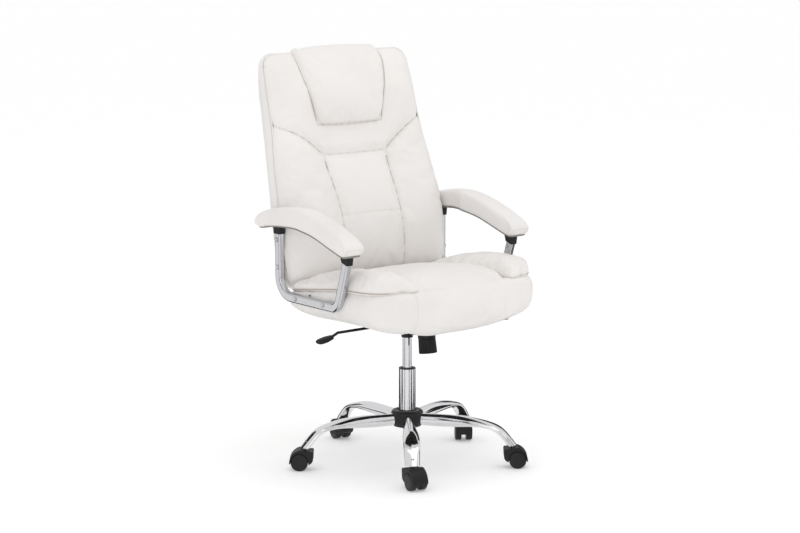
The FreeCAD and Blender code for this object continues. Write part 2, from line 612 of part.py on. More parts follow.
# ---- arms -------------------------------------------------------------------------------
def arm_outline(offset):
    """The side view of the bent tube, its edge offset from the centre line.

    Two straight uprights and a bar, joined by arcs.  Offset is positive towards the inside.
    """
    lean = V(0, ARM_FRONT_TOP_Y - ARM_FRONT_FOOT_Y, ARM_FRONT_TOP_Z - ARM_BAR_Z).normalize()
    lean_normal = V(0, lean.z, -lean.y)
    bar_z = ARM_BAR_Z + offset
    rear_y = ARM_REAR_Y - offset
    foot = V(0, ARM_FRONT_FOOT_Y, ARM_BAR_Z) + lean_normal * offset
    foot = foot + lean * ((bar_z - foot.z) / lean.z)
    top = V(0, ARM_FRONT_TOP_Y, ARM_FRONT_TOP_Z) + lean_normal * offset
    rear_r = ARM_REAR_BEND_R - offset
    front_r = ARM_FRONT_BEND_R - offset
    cut = front_r * math.tan(math.acos(-lean.y) / 2)
    front_centre = foot + Y_AXIS * cut + Z_AXIS * front_r
    mid = (foot - front_centre).normalize() * front_r + front_centre
    rear_centre = V(0, rear_y - rear_r, bar_z + rear_r)
    rear_mid = rear_centre + V(0, 1, -1).normalize() * rear_r
    return [
        V(0, rear_y, ARM_REAR_TOP_Z),
        V(0, rear_y, bar_z + rear_r),
        rear_mid,
        V(0, rear_y - rear_r, bar_z),
        foot + Y_AXIS * cut,
        mid,
        foot + lean * cut,
        top,
    ]


def arm_solid(half_depth, x0, x1):
    outer = arm_outline(-half_depth)
    inner = arm_outline(half_depth)
    edges = []
    for points in (outer, inner):
        edges.append(Part.makeLine(points[0], points[1]))
        edges.append(Part.Arc(points[1], points[2], points[3]).toShape())
        edges.append(Part.makeLine(points[3], points[4]))
        edges.append(Part.Arc(points[4], points[5], points[6]).toShape())
        edges.append(Part.makeLine(points[6], points[7]))
    edges.append(Part.makeLine(outer[0], inner[0]))
    edges.append(Part.makeLine(outer[7], inner[7]))
    face = Part.Face(Part.Wire(Part.__sortEdges__(edges)))
    face.translate(V(x0, 0, 0))
    return face.extrude(V(x1 - x0, 0, 0))


def long_edges(shape, x_values):
    """The edges that run along the tube at one of the given x."""
    found = []
    for edge in shape.Edges:
        bounds = edge.BoundBox
        if bounds.XLength < 0.01 and min(abs(bounds.XMin - x) for x in x_values) < 0.01:
            if edge.Length > ARM_TUBE_DEPTH + 1:
                found.append(edge)
    return found


def arm_bolt(y, z):
    """A button-head bolt from outside the tube into the wood behind it."""
    head = rod_x(ARM_BOLT_HEAD_R, ARM_OUTER_X, ARM_OUTER_X + ARM_BOLT_HEAD, y, z)
    head = head.makeFillet(2.0, [e for e in head.Edges if e.BoundBox.XMin > ARM_OUTER_X + 1])
    tip_x = ARM_INNER_X - ARM_BOLT_BITE
    return head.fuse(rod_x(ARM_BOLT_R, tip_x, ARM_OUTER_X, y, z)).removeSplitter()


def bolt_holes(places, radius):
    hole_x = ARM_INNER_X - ARM_BOLT_HOLE
    return Part.makeCompound([rod_x(radius, hole_x, ARM_OUTER_X + 1, y, z) for y, z in places])


def make_arms():
    tube = arm_solid(ARM_TUBE_DEPTH / 2, ARM_INNER_X, ARM_OUTER_X)
    tube = tube.makeFillet(6.5, long_edges(tube, (ARM_INNER_X, ARM_OUTER_X)))
    wall = ARM_TUBE_WALL
    tube = tube.cut(arm_solid(ARM_TUBE_DEPTH / 2 - wall, ARM_INNER_X + wall, ARM_OUTER_X - wall))
    places = ARM_BOLTS_TO_SEAT + ARM_BOLTS_TO_BACK
    tube = tube.cut(bolt_holes(places, ARM_BOLT_R))
    save("arm_frame_left", tube)
    save("arm_frame_right", mirrored(tube))

    bolts = [arm_bolt(y, z) for y, z in places]
    save("arm_bolts", *(bolts + [mirrored(bolt) for bolt in bolts]))

    half = ARM_TUBE_DEPTH / 2
    lean = V(0, ARM_FRONT_TOP_Y - ARM_FRONT_FOOT_Y, ARM_FRONT_TOP_Z - ARM_BAR_Z).normalize()
    across = V(0, lean.z, -lean.y)
    end = V(0, ARM_FRONT_TOP_Y, ARM_FRONT_TOP_Z)
    near = end + across * half
    far = end - across * half
    rear_cap = [
        (ARM_REAR_Y - half, ARM_REAR_TOP_Z),
        (ARM_REAR_Y + half, ARM_REAR_TOP_Z),
        (ARM_REAR_Y + half + 3, pad_underside(ARM_REAR_Y + half + 3)),
        (ARM_REAR_Y - half - 3, pad_underside(ARM_REAR_Y - half - 3)),
    ]
    front_cap = [
        (near.y, near.z),
        (near.y + 9, pad_underside(near.y + 9)),
        (far.y - 4, pad_underside(far.y - 4)),
        (far.y, far.z),
    ]
    pad = arm_pad()
    caps = [extrude_x(profile, ARM_INNER_X, ARM_OUTER_X + 1).cut(pad) for profile in (rear_cap, front_cap)]
    caps += [mirrored(cap) for cap in caps]
    save("arm_caps", *caps)
    save("arm_pad_left", pad)
    save("arm_pad_right", mirrored(pad))


def pad_underside(y):
    """Height of the arm pad's underside at y, by straight lines between its points."""
    for (y1, z1), (y0, z0) in zip(PAD_BOTTOM, PAD_BOTTOM[1:]):
        if y0 <= y <= y1:
            return z0 + (z1 - z0) * (y - y0) / (y1 - y0)
    return PAD_BOTTOM[-1][1]


def arm_pad():
    outline = list(PAD_TOP) + list(reversed(PAD_BOTTOM))
    inner_x = PAD_OUTER_X - PAD_WIDTH
    pad = extrude_x(outline, inner_x, PAD_OUTER_X)
    waist = [
        V(inner_x, PAD_WAIST_Y, 600),
        V(ARM_INNER_X + SOFT_GAP, PAD_REAR_Y, 600),
        V(ARM_INNER_X + SOFT_GAP, 320, 600),
        V(inner_x, 320, 600),
    ]
    return pad.cut(polygon(waist).extrude(V(0, 0, 200)))


# ---- seat -------------------------------------------------------------------------------
def seat_frame_solid():
    """Plywood pan: a flat board whose sides rise as rails for the arm bolts."""
    low = SEAT_PLATE_Z + PLATE
    outer = SEAT_HALF_X - 5
    inner = outer - RAIL_THICKNESS
    half = [
        (BOARD_HALF_X, low),
        (outer - 22, SEAT_LOW_EDGE_Z + 2),
        (outer, SEAT_LOW_EDGE_Z + 12),
        (outer, RAIL_TOP_Z),
        (inner, RAIL_TOP_Z),
        (inner, SEAT_LOW_EDGE_Z + 20),
        (BOARD_HALF_X - 6, BOARD_TOP_Z),
    ]
    ring = half + [(-x, z) for x, z in reversed(half)]
    pan = polygon([V(x, RAIL_FRONT_Y, z) for x, z in ring]).extrude(V(0, RAIL_REAR_Y - RAIL_FRONT_Y, 0))
    board = box(-BOARD_HALF_X + 6, BOARD_HALF_X - 6, BOARD_FRONT_Y, RAIL_REAR_Y, low, BOARD_TOP_Z)
    return pan.fuse(board).removeSplitter()


def rounded_plan(half_x, front_y, rear_y, corner, z):
    """A closed wire in plan: a rectangle with two round front corners."""
    rear_left = V(half_x, rear_y, z)
    rear_right = V(-half_x, rear_y, z)
    side_left = V(half_x, front_y + corner, z)
    side_right = V(-half_x, front_y + corner, z)
    front_left = V(half_x - corner, front_y, z)
    front_right = V(-half_x + corner, front_y, z)
    diagonal = corner * (1 - math.sqrt(0.5))
    mid_left = V(half_x - diagonal, front_y + diagonal, z)
    mid_right = V(-half_x + diagonal, front_y + diagonal, z)
    return Part.Wire([
        Part.makeLine(rear_right, rear_left),
        Part.makeLine(rear_left, side_left),
        Part.Arc(side_left, mid_left, front_left).toShape(),
        Part.makeLine(front_left, front_right),
        Part.Arc(front_right, mid_right, side_right).toShape(),
        Part.makeLine(side_right, rear_right),
    ])


def groove_z(y):
    """Height of the top of the lower cushion at y."""
    for (y0, z0), (y1, z1) in zip(SEAT_GROOVE, SEAT_GROOVE[1:]):
        if y <= y1:
            break
    return z0 + (z1 - z0) * (y - y0) / (y1 - y0)


def seat_base_solid():
    """The wide lower cushion: drawn in towards its underside, with round front corners."""
    low = SEAT_PLATE_Z + PLATE + 1
    top = SEAT_GROOVE[0][1]
    levels = (
        (low, 75.0, 30.0),
        (low + 14, 42.0, 12.0),
        (SEAT_LOW_EDGE_Z, 14.0, 4.0),
        (SEAT_LOW_EDGE_Z + 14, 0.0, 0.0),
        (top - 10, 0.0, 0.0),
        (top, 8.0, 8.0),
    )
    wires = []
    for z, side_in, front_in in levels:
        wires.append(rounded_plan(
            SEAT_HALF_X - side_in, SEAT_SHOULDER_Y + front_in, SEAT_REAR_Y, SEAT_CORNER_R, z))
    above = list(SEAT_GROOVE) + [(SEAT_GROOVE[-1][0], top + 50), (SEAT_GROOVE[0][0], top + 50)]
    return Part.makeLoft(wires, True, True).cut(extrude_x(above, -SEAT_HALF_X - 5, SEAT_HALF_X + 5))


def centre_pad_solid():
    """The centre panel: flat on top, rolling over the front and down to the lower edge."""
    (front_y, front_z), (flat_y, flat_z) = SEAT_FLAT
    rear_y = SEAT_REAR_Y
    inner_y = SEAT_FRONT_Y + 48
    profile = [
        (rear_y, groove_z(rear_y)),
        (rear_y, groove_z(rear_y) + 8),
        (rear_y - 22, groove_z(rear_y) + 18),
        (flat_y, flat_z),
        (front_y, front_z),
        (front_y - 50, front_z - 3),
        (front_y - 95, front_z - 20),
        (SEAT_FRONT_Y + 17, front_z - 38),
        (SEAT_FRONT_Y + 3, front_z - 68),
        (SEAT_FRONT_Y, front_z - 95),
        (SEAT_FRONT_Y + 3, FRONT_PANEL_BOTTOM_Z + 22),
        (SEAT_FRONT_Y + 15, FRONT_PANEL_BOTTOM_Z),
        (inner_y, FRONT_PANEL_BOTTOM_Z),
        (inner_y, groove_z(inner_y)),
        (SEAT_GROOVE[2]),
        (SEAT_GROOVE[3]),
    ]
    return extrude_x(profile, -CENTRE_HALF_X, CENTRE_HALF_X)


def bolster():
    """The padded roll along one side of the seat's top."""
    wires = []
    centre_x = (CENTRE_HALF_X + SEAT_HALF_X) / 2
    half_w = (SEAT_HALF_X - CENTRE_HALF_X) / 2 - 1.5
    section = ((-1.0, 0.0), (-1.0, 0.5), (-0.8, 0.88), (-0.35, 1.0),
               (0.35, 1.0), (0.8, 0.86), (1.0, 0.5), (1.0, 0.0))
    for share, width, height in (
        (0.0, 0.62, 0.45), (0.06, 0.85, 0.72), (0.18, 1.0, 0.95),
        (0.4, 1.0, 1.0), (0.8, 1.0, 0.82), (1.0, 0.95, 0.62)
    ):
        y = BOLSTER_FRONT_Y + (BOLSTER_REAR_Y - BOLSTER_FRONT_Y) * share
        low = groove_z(y) + SOFT_GAP
        points = [
            V(centre_x + half_w * width * u, y, low + BOLSTER_HEIGHT * height * v) for u, v in section
        ]
        wires.append(Part.makePolygon(points + [points[0]]))
    lowered = extrude_x(list(SEAT_GROOVE) + [(240, 400), (-320, 400)], CENTRE_HALF_X, SEAT_HALF_X)
    return Part.makeLoft(wires, True, True).cut(lowered)


def make_seat():
    frame = seat_frame_solid()
    seat_holes = bolt_holes(ARM_BOLTS_TO_SEAT, ARM_BOLT_R)
    both_holes = Part.makeCompound([seat_holes, mirrored(seat_holes)])
    frame_out = frame.cut(both_holes)
    for x, y in seat_screw_places():
        frame_out = frame_out.cut(rod_z(SEAT_SCREW_R, SEAT_PLATE_Z, BOARD_TOP_Z - 2, x, y))
    save("seat_frame", frame_out)
    pad = centre_pad_solid()
    save("seat_centre_pad", pad)
    save("seat_cushion_base", seat_base_solid().cut(frame).cut(pad).cut(both_holes))
    side = bolster()
    save("seat_bolsters", side, mirrored(side))


# ---- backrest ---------------------------------------------------------------------------
def back_cushion_section(level, rear_offset):
    """A closed wire across the backrest at one level: flat behind, two puffed wings in front."""
    z, drawn_in, panel_y, wing_y, side_y, back_y = level
    half = SEAT_HALF_X - drawn_in
    shape = (
        (1.0, side_y),
        (0.985, side_y + (wing_y - side_y) * 0.5),
        (0.93, side_y + (wing_y - side_y) * 0.88),
        (0.8, wing_y),
        (0.62, wing_y + (panel_y - wing_y) * 0.2),
        (0.42, panel_y),
    )
    right = [V(half * u, y, z) for u, y in shape]
    left = [V(-point.x, point.y, z) for point in reversed(right)]
    rear = back_y - rear_offset
    points = right + left + [V(-half, rear, z), V(half, rear, z)]
    return Part.makePolygon(points + [points[0]])


def back_plate(outer_offset, inner_offset, inset, last=None):
    """A curved panel parallel to the back face, between two depths."""
    wires = []
    for level in BACK_LEVELS[:last]:
        z, drawn_in, back_y = level[0], level[1], level[5]
        wide = SEAT_HALF_X - drawn_in - inset
        points = [
            V(-wide, back_y - outer_offset, z),
            V(wide, back_y - outer_offset, z),
            V(wide, back_y - inner_offset, z),
            V(-wide, back_y - inner_offset, z),
        ]
        wires.append(Part.makePolygon(points + [points[0]]))
    return Part.makeLoft(wires, True, True)


def make_back():
    cover_in = BACK_COVER_THICKNESS
    board_in = cover_in + BACK_BOARD_THICKNESS
    cover = back_plate(0.0, cover_in, 0.0)
    board = back_plate(cover_in, board_in, 16.0, len(BACK_LEVELS) - 1)
    holes = bolt_holes(ARM_BOLTS_TO_BACK, ARM_BOLT_R)
    both_holes = Part.makeCompound([holes, mirrored(holes)])
    block_outer = ARM_INNER_X - BACK_BLOCK_INSET
    block_inner = block_outer - BACK_BLOCK_THICKNESS
    block = box(block_inner, block_outer, *BACK_BLOCK_Y, *BACK_BLOCK_Z)
    board = board.multiFuse([block, mirrored(block)]).cut(cover).removeSplitter()

    wires = [back_cushion_section(level, cover_in) for level in BACK_LEVELS]
    cushion_outer = Part.makeLoft(wires, True, True)
    cushion = cushion_outer.cut(board)
    save("back_board", board.cut(both_holes))
    save("back_cushion", cushion.cut(both_holes))
    save("back_cover", cover.cut(both_holes))
    clear_of = cushion_outer.copy()
    clear_of.translate(V(0, -SOFT_GAP, SOFT_GAP))
    behind = back_plate(0.0, cover_in + 2 * SOFT_GAP, 0.0)
    save("head_pad", head_pad().cut(clear_of).cut(behind))


def head_pad():
    """A pillow laid over the top of the backrest, between the shoulders."""
    wires = []
    for z, half, front, rear in HEAD_PAD_LEVELS:
        section = (
            (-1.0, rear), (-1.0, front + 10), (-0.93, front + 3), (-0.6, front),
            (0.6, front), (0.93, front + 3), (1.0, front + 10), (1.0, rear),
        )
        points = [V(half * u, y, z) for u, y in section]
        wires.append(Part.makePolygon(points + [points[0]]))
    return Part.makeLoft(wires, True, True)


os.makedirs("parts", exist_ok=True)
make_base()
make_gas_lift()
make_mechanism()
make_lever()
make_arms()
make_seat()
make_back()
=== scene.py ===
# %% [markdown]
# # A high-back padded office chair
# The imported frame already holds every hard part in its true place: base, castors, gas lift,
# tilt mechanism, lever, knob and arm loops. This script gives those parts their finishes and
# makes the upholstery, which is what the eye meets first on such a chair.

# %% Load the frame
import math

import bmesh
import bpy
import numpy as np
from mathutils.bvhtree import BVHTree
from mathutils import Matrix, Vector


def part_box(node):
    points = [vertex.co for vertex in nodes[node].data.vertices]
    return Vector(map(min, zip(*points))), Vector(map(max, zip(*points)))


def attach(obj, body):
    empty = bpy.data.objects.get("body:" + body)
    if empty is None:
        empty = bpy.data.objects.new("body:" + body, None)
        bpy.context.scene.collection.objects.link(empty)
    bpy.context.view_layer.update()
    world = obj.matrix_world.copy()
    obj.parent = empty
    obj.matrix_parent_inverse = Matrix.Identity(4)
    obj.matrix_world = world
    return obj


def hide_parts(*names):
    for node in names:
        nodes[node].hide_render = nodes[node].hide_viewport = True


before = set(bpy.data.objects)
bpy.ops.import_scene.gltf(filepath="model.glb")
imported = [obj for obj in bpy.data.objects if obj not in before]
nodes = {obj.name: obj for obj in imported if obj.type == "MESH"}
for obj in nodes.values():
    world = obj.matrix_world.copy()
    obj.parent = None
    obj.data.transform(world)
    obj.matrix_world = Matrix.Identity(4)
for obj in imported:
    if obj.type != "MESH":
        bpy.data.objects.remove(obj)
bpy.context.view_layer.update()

# %% [markdown]
# ## Camera and light
# A long lens from a few metres away keeps the chair's lines nearly parallel. The studio is a
# white room: a bright floor, a big soft lamp above and a broad one beside the camera. Chrome
# only shows what surrounds it, so dark cards stand out of view and draw its dark bands.

# %% Camera
CAMERA_TURN = -0.676
CAMERA_DISTANCE = 6.0936
CAMERA_HEIGHT = 1.6273
CAMERA_PITCH = 0.171
LENS_MM = 96.32

camera_data = bpy.data.cameras.new("camera")
camera = bpy.data.objects.new("camera", camera_data)
bpy.context.scene.collection.objects.link(camera)
camera.location = (
    math.sin(CAMERA_TURN) * CAMERA_DISTANCE,
    -math.cos(CAMERA_TURN) * CAMERA_DISTANCE,
    CAMERA_HEIGHT,
)
camera.rotation_euler = (math.pi / 2 - CAMERA_PITCH, 0, CAMERA_TURN)
camera_data.sensor_width = 36.0
camera_data.lens = LENS_MM
camera_data.shift_x = -0.0090
bpy.context.scene.camera = camera
print("camera at", [round(v, 3) for v in camera.location])


# %% Colours
def linear(code):
    """sRGB hex to linear red, green, blue and alpha: each channel / 255, then the sRGB curve undone."""
    channel = np.array([int(code[i:i + 2], 16) for i in (1, 3, 5)]) / 255
    plain = np.where(channel <= 0.04045, channel / 12.92, ((channel + 0.055) / 1.055) ** 2.4)
    return (*(float(c) for c in plain), 1.0)


# %% Floor, lamps and dark cards
def flat_card(name, centre, across, up):
    """A rectangle: centre plus and minus the two half-side vectors."""
    centre, across, up = (np.array(v, float) for v in (centre, across, up))
    corners = [centre - across - up, centre + across - up, centre + across + up, centre - across + up]
    mesh = bpy.data.meshes.new(name)
    mesh.from_pydata([tuple(c) for c in corners], [], [(0, 1, 2, 3)])
    card = bpy.data.objects.new(name, mesh)
    bpy.context.scene.collection.objects.link(card)
    return card


def plain_material(name, colour, rough):
    """One flat colour, for the studio only."""
    made = bpy.data.materials.new(name)
    made.use_nodes = True
    shader = made.node_tree.nodes["Principled BSDF"]
    shader.inputs["Base Color"].default_value = linear(colour)
    shader.inputs["Roughness"].default_value = rough
    shader.inputs["Specular IOR Level"].default_value = 0.1
    return made


def soft_lamp(name, place, aim, size, watts):
    """A square area lamp at place that faces aim."""
    data = bpy.data.lights.new(name, "AREA")
    data.size = size
    data.energy = watts
    lamp = bpy.data.objects.new(name, data)
    bpy.context.scene.collection.objects.link(lamp)
    lamp.location = place
    run = np.array(aim, float) - np.array(place, float)
    lamp.rotation_euler = (
        math.atan2(math.hypot(run[0], run[1]), -run[2]), 0.0, math.atan2(run[1], run[0]) - math.pi / 2)
    return lamp


floor = flat_card("floor", (0, 0, 0), (45, 0, 0), (0, 45, 0))
floor_white = plain_material("floor_white", "#f3f3f3", 0.8)
floor_glow = floor_white.node_tree.nodes["Principled BSDF"].inputs
floor_glow["Emission Color"].default_value = linear("#ffffff")
floor_glow["Emission Strength"].default_value = 0.22
floor.data.materials.append(floor_white)
card_black = plain_material("card_black", "#212123", 0.6)
CARD_R = 3.0
CARD_HEIGHT = 1.9
# each card: how far round from the camera, and half its width, both in degrees
CARDS = ((27, 2.5), (-33, 2), (58, 5), (-72, 6), (104, 8), (-126, 12), (158, 11))
for number, (turn, half) in enumerate(CARDS):
    direction = CAMERA_TURN + math.radians(turn)
    out = np.array([math.sin(direction), -math.cos(direction), 0.0])
    across = np.array([math.cos(direction), math.sin(direction), 0.0]) * CARD_R * math.tan(math.radians(half))
    middle = out * (CARD_R / 2 + 0.2)
    upright = np.array([0.0, 0.0, CARD_HEIGHT / 2])
    strips = [
        flat_card("card_%d" % number, out * CARD_R + upright, across, upright),
        flat_card("floor_strip_%d" % number, middle + (0, 0, 0.003), across * 0.55, out * (CARD_R / 2 - 0.2)),
    ]
    for card in strips:
        card.data.materials.append(card_black)
        card.visible_camera = False
        card.visible_diffuse = False
        card.visible_shadow = False

soft_lamp("lamp_above", (0.3, -0.6, 3.6), (0, 0, 0.5), 3.5, 20)
soft_lamp("lamp_camera_left", (-4.2, -3.4, 2.4), (0, 0, 0.6), 2.4, 16)
soft_lamp("lamp_right", (3.6, -2.0, 2.2), (0, 0, 0.6), 2.4, 6)

world = bpy.data.worlds.new("studio")
bpy.context.scene.world = world
world.use_nodes = True
room = world.node_tree.nodes["Background"].inputs
room["Color"].default_value = linear("#ffffff")
room["Strength"].default_value = 0.86
bpy.context.scene.view_settings.view_transform = "Standard"
print("studio ready")

# %% [markdown]
# ## Finishes
# A finish could be a picture wrapped on the part, but a node graph needs no file and has no
# seams. Each graph here reads Object coordinates, so the pattern stays on the part in every
# pose. Grain and moulding marks are bump, and slow noise keeps colour and gloss from being
# perfectly even. Every pattern's size is given in millimetres of the real surface.

# %% Node helper
def per_metre(millimetres):
    """Texture scale for marks that many millimetres apart: cells in one metre."""
    return 1000.0 / millimetres


def node(tree, kind, inputs, **settings):
    """Add a node: settings are its own properties, inputs its sockets, each linked or given a value."""
    made = tree.nodes.new(kind)
    for key, value in settings.items():
        setattr(made, key, value)
    for key, value in inputs.items():
        if isinstance(value, bpy.types.NodeSocket):
            tree.links.new(value, made.inputs[key])
        else:
            made.inputs[key].default_value = value
    return made


def start(name):
    """An empty material: its node tree and the Object coordinates."""
    made = bpy.data.materials.new(name)
    made.use_nodes = True
    made.node_tree.nodes.clear()
    return made, made.node_tree, node(made.node_tree, "ShaderNodeTexCoord", {}).outputs["Object"]


def end(material, **inputs):
    """The shader with its sockets filled, joined to the material's output."""
    tree = material.node_tree
    sockets = {key.replace("_", " "): value for key, value in inputs.items()}
    shader = node(tree, "ShaderNodeBsdfPrincipled", sockets)
    node(tree, "ShaderNodeOutputMaterial", {"Surface": shader.outputs["BSDF"]})
    return material


def shaded(code, times, plus=0.0):
    """A hex colour made linear, each channel times one number plus another."""
    return (*(c * times + plus for c in linear(code)[:3]), 1.0)


# %% [markdown]
# Upholstery leather of this kind is split hide with a coloured polyurethane coat, rolled with
# a grain. To the eye it is an even off-white with fine pores, soft folds and a low gloss; a
# warmer brown-grey in the hollows is painted shade. Real pores are some 0.4 mm apart, too
# fine to show, so they are drawn at 0.9 mm. Where a seam pulls the hide in, shade falls in the
# groove, and the mesh carries a per-point crease value that the graph paints as that shade.

# %% Leather
def coated_leather(name, light, shade, painted_crease_shade):
    """Even hide, slow warm patches, fine speckle, painted shade in creases and gaps, pores and folds as bump.
    """
    made, tree, place = start(name)
    # The crease attribute marks where painted shade goes: seam grooves, gaps and edges.
    seam = node(tree, "ShaderNodeAttribute", {}, attribute_name="painted_crease_shade").outputs["Fac"]
    patches = node(tree, "ShaderNodeTexNoise", {
        "Vector": place, "Scale": per_metre(143), "Detail": 4.0}).outputs["Fac"]
    patches = node(tree, "ShaderNodeMapRange", {
        "Value": patches, "From Min": 0.3, "From Max": 0.7}).outputs["Result"]
    hide = node(tree, "ShaderNodeMix", {
        0: patches, 6: linear(light), 7: linear(shade)}, data_type="RGBA").outputs[2]
    speckle = node(tree, "ShaderNodeTexNoise", {
        "Vector": place, "Scale": per_metre(2.4), "Detail": 2.0}).outputs["Fac"]
    speckle = node(tree, "ShaderNodeMapRange", {"Value": speckle, "To Max": 0.25}).outputs["Result"]
    hide = node(tree, "ShaderNodeMix", {0: speckle, 6: hide, 7: linear(shade)}, data_type="RGBA").outputs[2]
    # Painted shade: the hide colour is mixed towards the brown-grey crease colour by that attribute.
    colour = node(tree, "ShaderNodeMix", {0: seam, 6: hide, 7: linear(painted_crease_shade)}, data_type="RGBA").outputs[2]
    pores = node(tree, "ShaderNodeTexVoronoi", {
        "Vector": place, "Scale": per_metre(0.91)}, feature="DISTANCE_TO_EDGE").outputs["Distance"]
    pores = node(tree, "ShaderNodeMapRange", {"Value": pores, "From Max": 0.12}).outputs["Result"]
    grain = node(tree, "ShaderNodeBump", {
        "Height": pores, "Distance": 0.00012, "Strength": 0.5}).outputs["Normal"]
    soft = node(tree, "ShaderNodeTexNoise", {
        "Vector": place, "Scale": per_metre(18.2), "Detail": 4.0, "Roughness": 0.6}).outputs["Fac"]
    folds = node(tree, "ShaderNodeBump", {
        "Height": soft, "Distance": 0.0012, "Strength": 0.22, "Normal": grain}).outputs["Normal"]
    gloss = node(tree, "ShaderNodeTexNoise", {
        "Vector": place, "Scale": per_metre(33), "Detail": 3.0}).outputs["Fac"]
    rough = node(tree, "ShaderNodeMapRange", {
        "Value": gloss, "From Min": 0.3, "From Max": 0.7, "To Min": 0.42, "To Max": 0.55}).outputs["Result"]
    return end(made, Base_Color=colour, Roughness=rough, Normal=folds, Specular_IOR_Level=0.42)


# The third colour of each is the brown-grey of painted shade in creases and gaps.
LEATHER = coated_leather("coated_split_leather", "#edeae8", "#e7e4e1", "#ada297")
ARM_LEATHER = coated_leather("coated_leather_on_arms", "#edeae8", "#e6e3e1", "#ada49b")
print("leather:", LEATHER.name, ARM_LEATHER.name)


# %% [markdown]
# The base, column and arm loops are steel plated with bright chrome, which mirrors the room
# and shows only a trace of ripple from polishing. Hidden steel is turned and zinc plated, so
# it is greyer and its highlights are wider; the spring is oil-blackened. A metal keeps the
# shader's own index of refraction, and its colour is its tint at a straight look.

# %% Chrome and steel
def polished_metal(name, tone, rough_low, rough_high, ripple=0.00002):
    """Even tint with slow patches, gloss from rough_low to rough_high, ripples 45 mm long as bump."""
    made, tree, place = start(name)
    patches = node(tree, "ShaderNodeTexNoise", {
        "Vector": place, "Scale": per_metre(111), "Detail": 3.0}).outputs["Fac"]
    colour = node(tree, "ShaderNodeMix", {
        0: patches, 6: linear(tone), 7: shaded(tone, 0.93)}, data_type="RGBA").outputs[2]
    wear = node(tree, "ShaderNodeTexNoise", {
        "Vector": place, "Scale": per_metre(25), "Detail": 3.0}).outputs["Fac"]
    rough = node(tree, "ShaderNodeMapRange", {
        "Value": wear, "From Min": 0.3, "From Max": 0.7,
        "To Min": rough_low, "To Max": rough_high}).outputs["Result"]
    wave = node(tree, "ShaderNodeTexNoise", {
        "Vector": place, "Scale": per_metre(45.5), "Detail": 1.0}).outputs["Fac"]
    bump = node(tree, "ShaderNodeBump", {
        "Height": wave, "Distance": ripple, "Strength": 0.4}).outputs["Normal"]
    return end(made, Base_Color=colour, Roughness=rough, Metallic=1.0, Normal=bump)


CHROME = polished_metal("chromed_steel", "#e5e5e7", 0.05, 0.10)  # base: full mirror
# The arm loops' chrome is tinted darker than the base's: painted shade for their darker reflections. Its
# higher roughness is the duller finish.
ARM_CHROME = polished_metal("chromed_tube", "#cbcbce", 0.09, 0.15)  # arm loops: a little duller
COLUMN_CHROME = polished_metal("chromed_column", "#dadadd", 0.10, 0.16)  # column: blurred dark bands
STEEL = polished_metal("zinc_plated_steel", "#cbcbcd", 0.22, 0.34, 0.00004)  # bolts: grey, wide highlights
BLACK_STEEL = polished_metal("oil_blackened_steel", "#555557", 0.34, 0.46, 0.00004)  # spring: dark sheen
print("metals:", CHROME.name, ARM_CHROME.name, COLUMN_CHROME.name, STEEL.name, BLACK_STEEL.name)


# %% [markdown]
# Castors, caps, knob and grip are black nylon and polypropylene, moulded in tools with a
# spark-eroded face: nearly black, with a broad soft highlight and a fine sand-like grain. The
# real grain is a tenth of a millimetre, which is too fine to show, so it is drawn at about one
# millimetre. The tilt mechanism has a baked powder coat, and the seams a bonded thread.

# %% Plastic, powder coat and thread
def moulded(name, tone, rough, grain_mm=1.11, depth=0.00008):
    """Colour that drifts over 40 mm, gloss that drifts over 55 mm, and a fine grain as bump."""
    made, tree, place = start(name)
    patches = node(tree, "ShaderNodeTexNoise", {
        "Vector": place, "Scale": per_metre(40), "Detail": 3.0}).outputs["Fac"]
    colour = node(tree, "ShaderNodeMix", {
        0: patches, 6: linear(tone), 7: shaded(tone, 1.45, 0.004)}, data_type="RGBA").outputs[2]
    wear = node(tree, "ShaderNodeTexNoise", {
        "Vector": place, "Scale": per_metre(55.5), "Detail": 3.0}).outputs["Fac"]
    sheen = node(tree, "ShaderNodeMapRange", {
        "Value": wear, "From Min": 0.3, "From Max": 0.7,
        "To Min": rough - 0.06, "To Max": rough + 0.08}).outputs["Result"]
    grain = node(tree, "ShaderNodeTexNoise", {
        "Vector": place, "Scale": per_metre(grain_mm), "Detail": 2.0}).outputs["Fac"]
    bump = node(tree, "ShaderNodeBump", {
        "Height": grain, "Distance": depth, "Strength": 0.6}).outputs["Normal"]
    return end(made, Base_Color=colour, Roughness=sheen, Normal=bump, Specular_IOR_Level=0.32)


BLACK_PAINT = moulded("black_powder_coat", "#141416", 0.40, 2.0, 0.00005)  # orange peel 2 mm across
BLACK_PLASTIC = moulded("black_nylon", "#121214", 0.48)  # hoods, caps, knob and grip
WHEEL_PLASTIC = moulded("black_wheel_nylon", "#161618", 0.42)  # wheels: rubbed a little shinier
COVER_PLASTIC = moulded("black_polypropylene", "#181819", 0.44)  # hub cover
BOARD_PLASTIC = moulded("grey_polypropylene", "#7c7976", 0.55)  # board under the arm pads
SEAM_THREAD = moulded("brown_polyester_thread", "#95897c", 0.75, 0.4, 0.00005)
PALE_THREAD = moulded("pale_polyester_thread", "#bcb5ad", 0.75, 0.4, 0.00005)
print("plastics:", BLACK_PAINT.name, BLACK_PLASTIC.name, WHEEL_PLASTIC.name, COVER_PLASTIC.name)


# %% [markdown]
# Inside the back is a sanded birch board: pale brown fibres that run one way. Under the seat
# the wooden pan is closed with black dust cloth, a dull even weave.

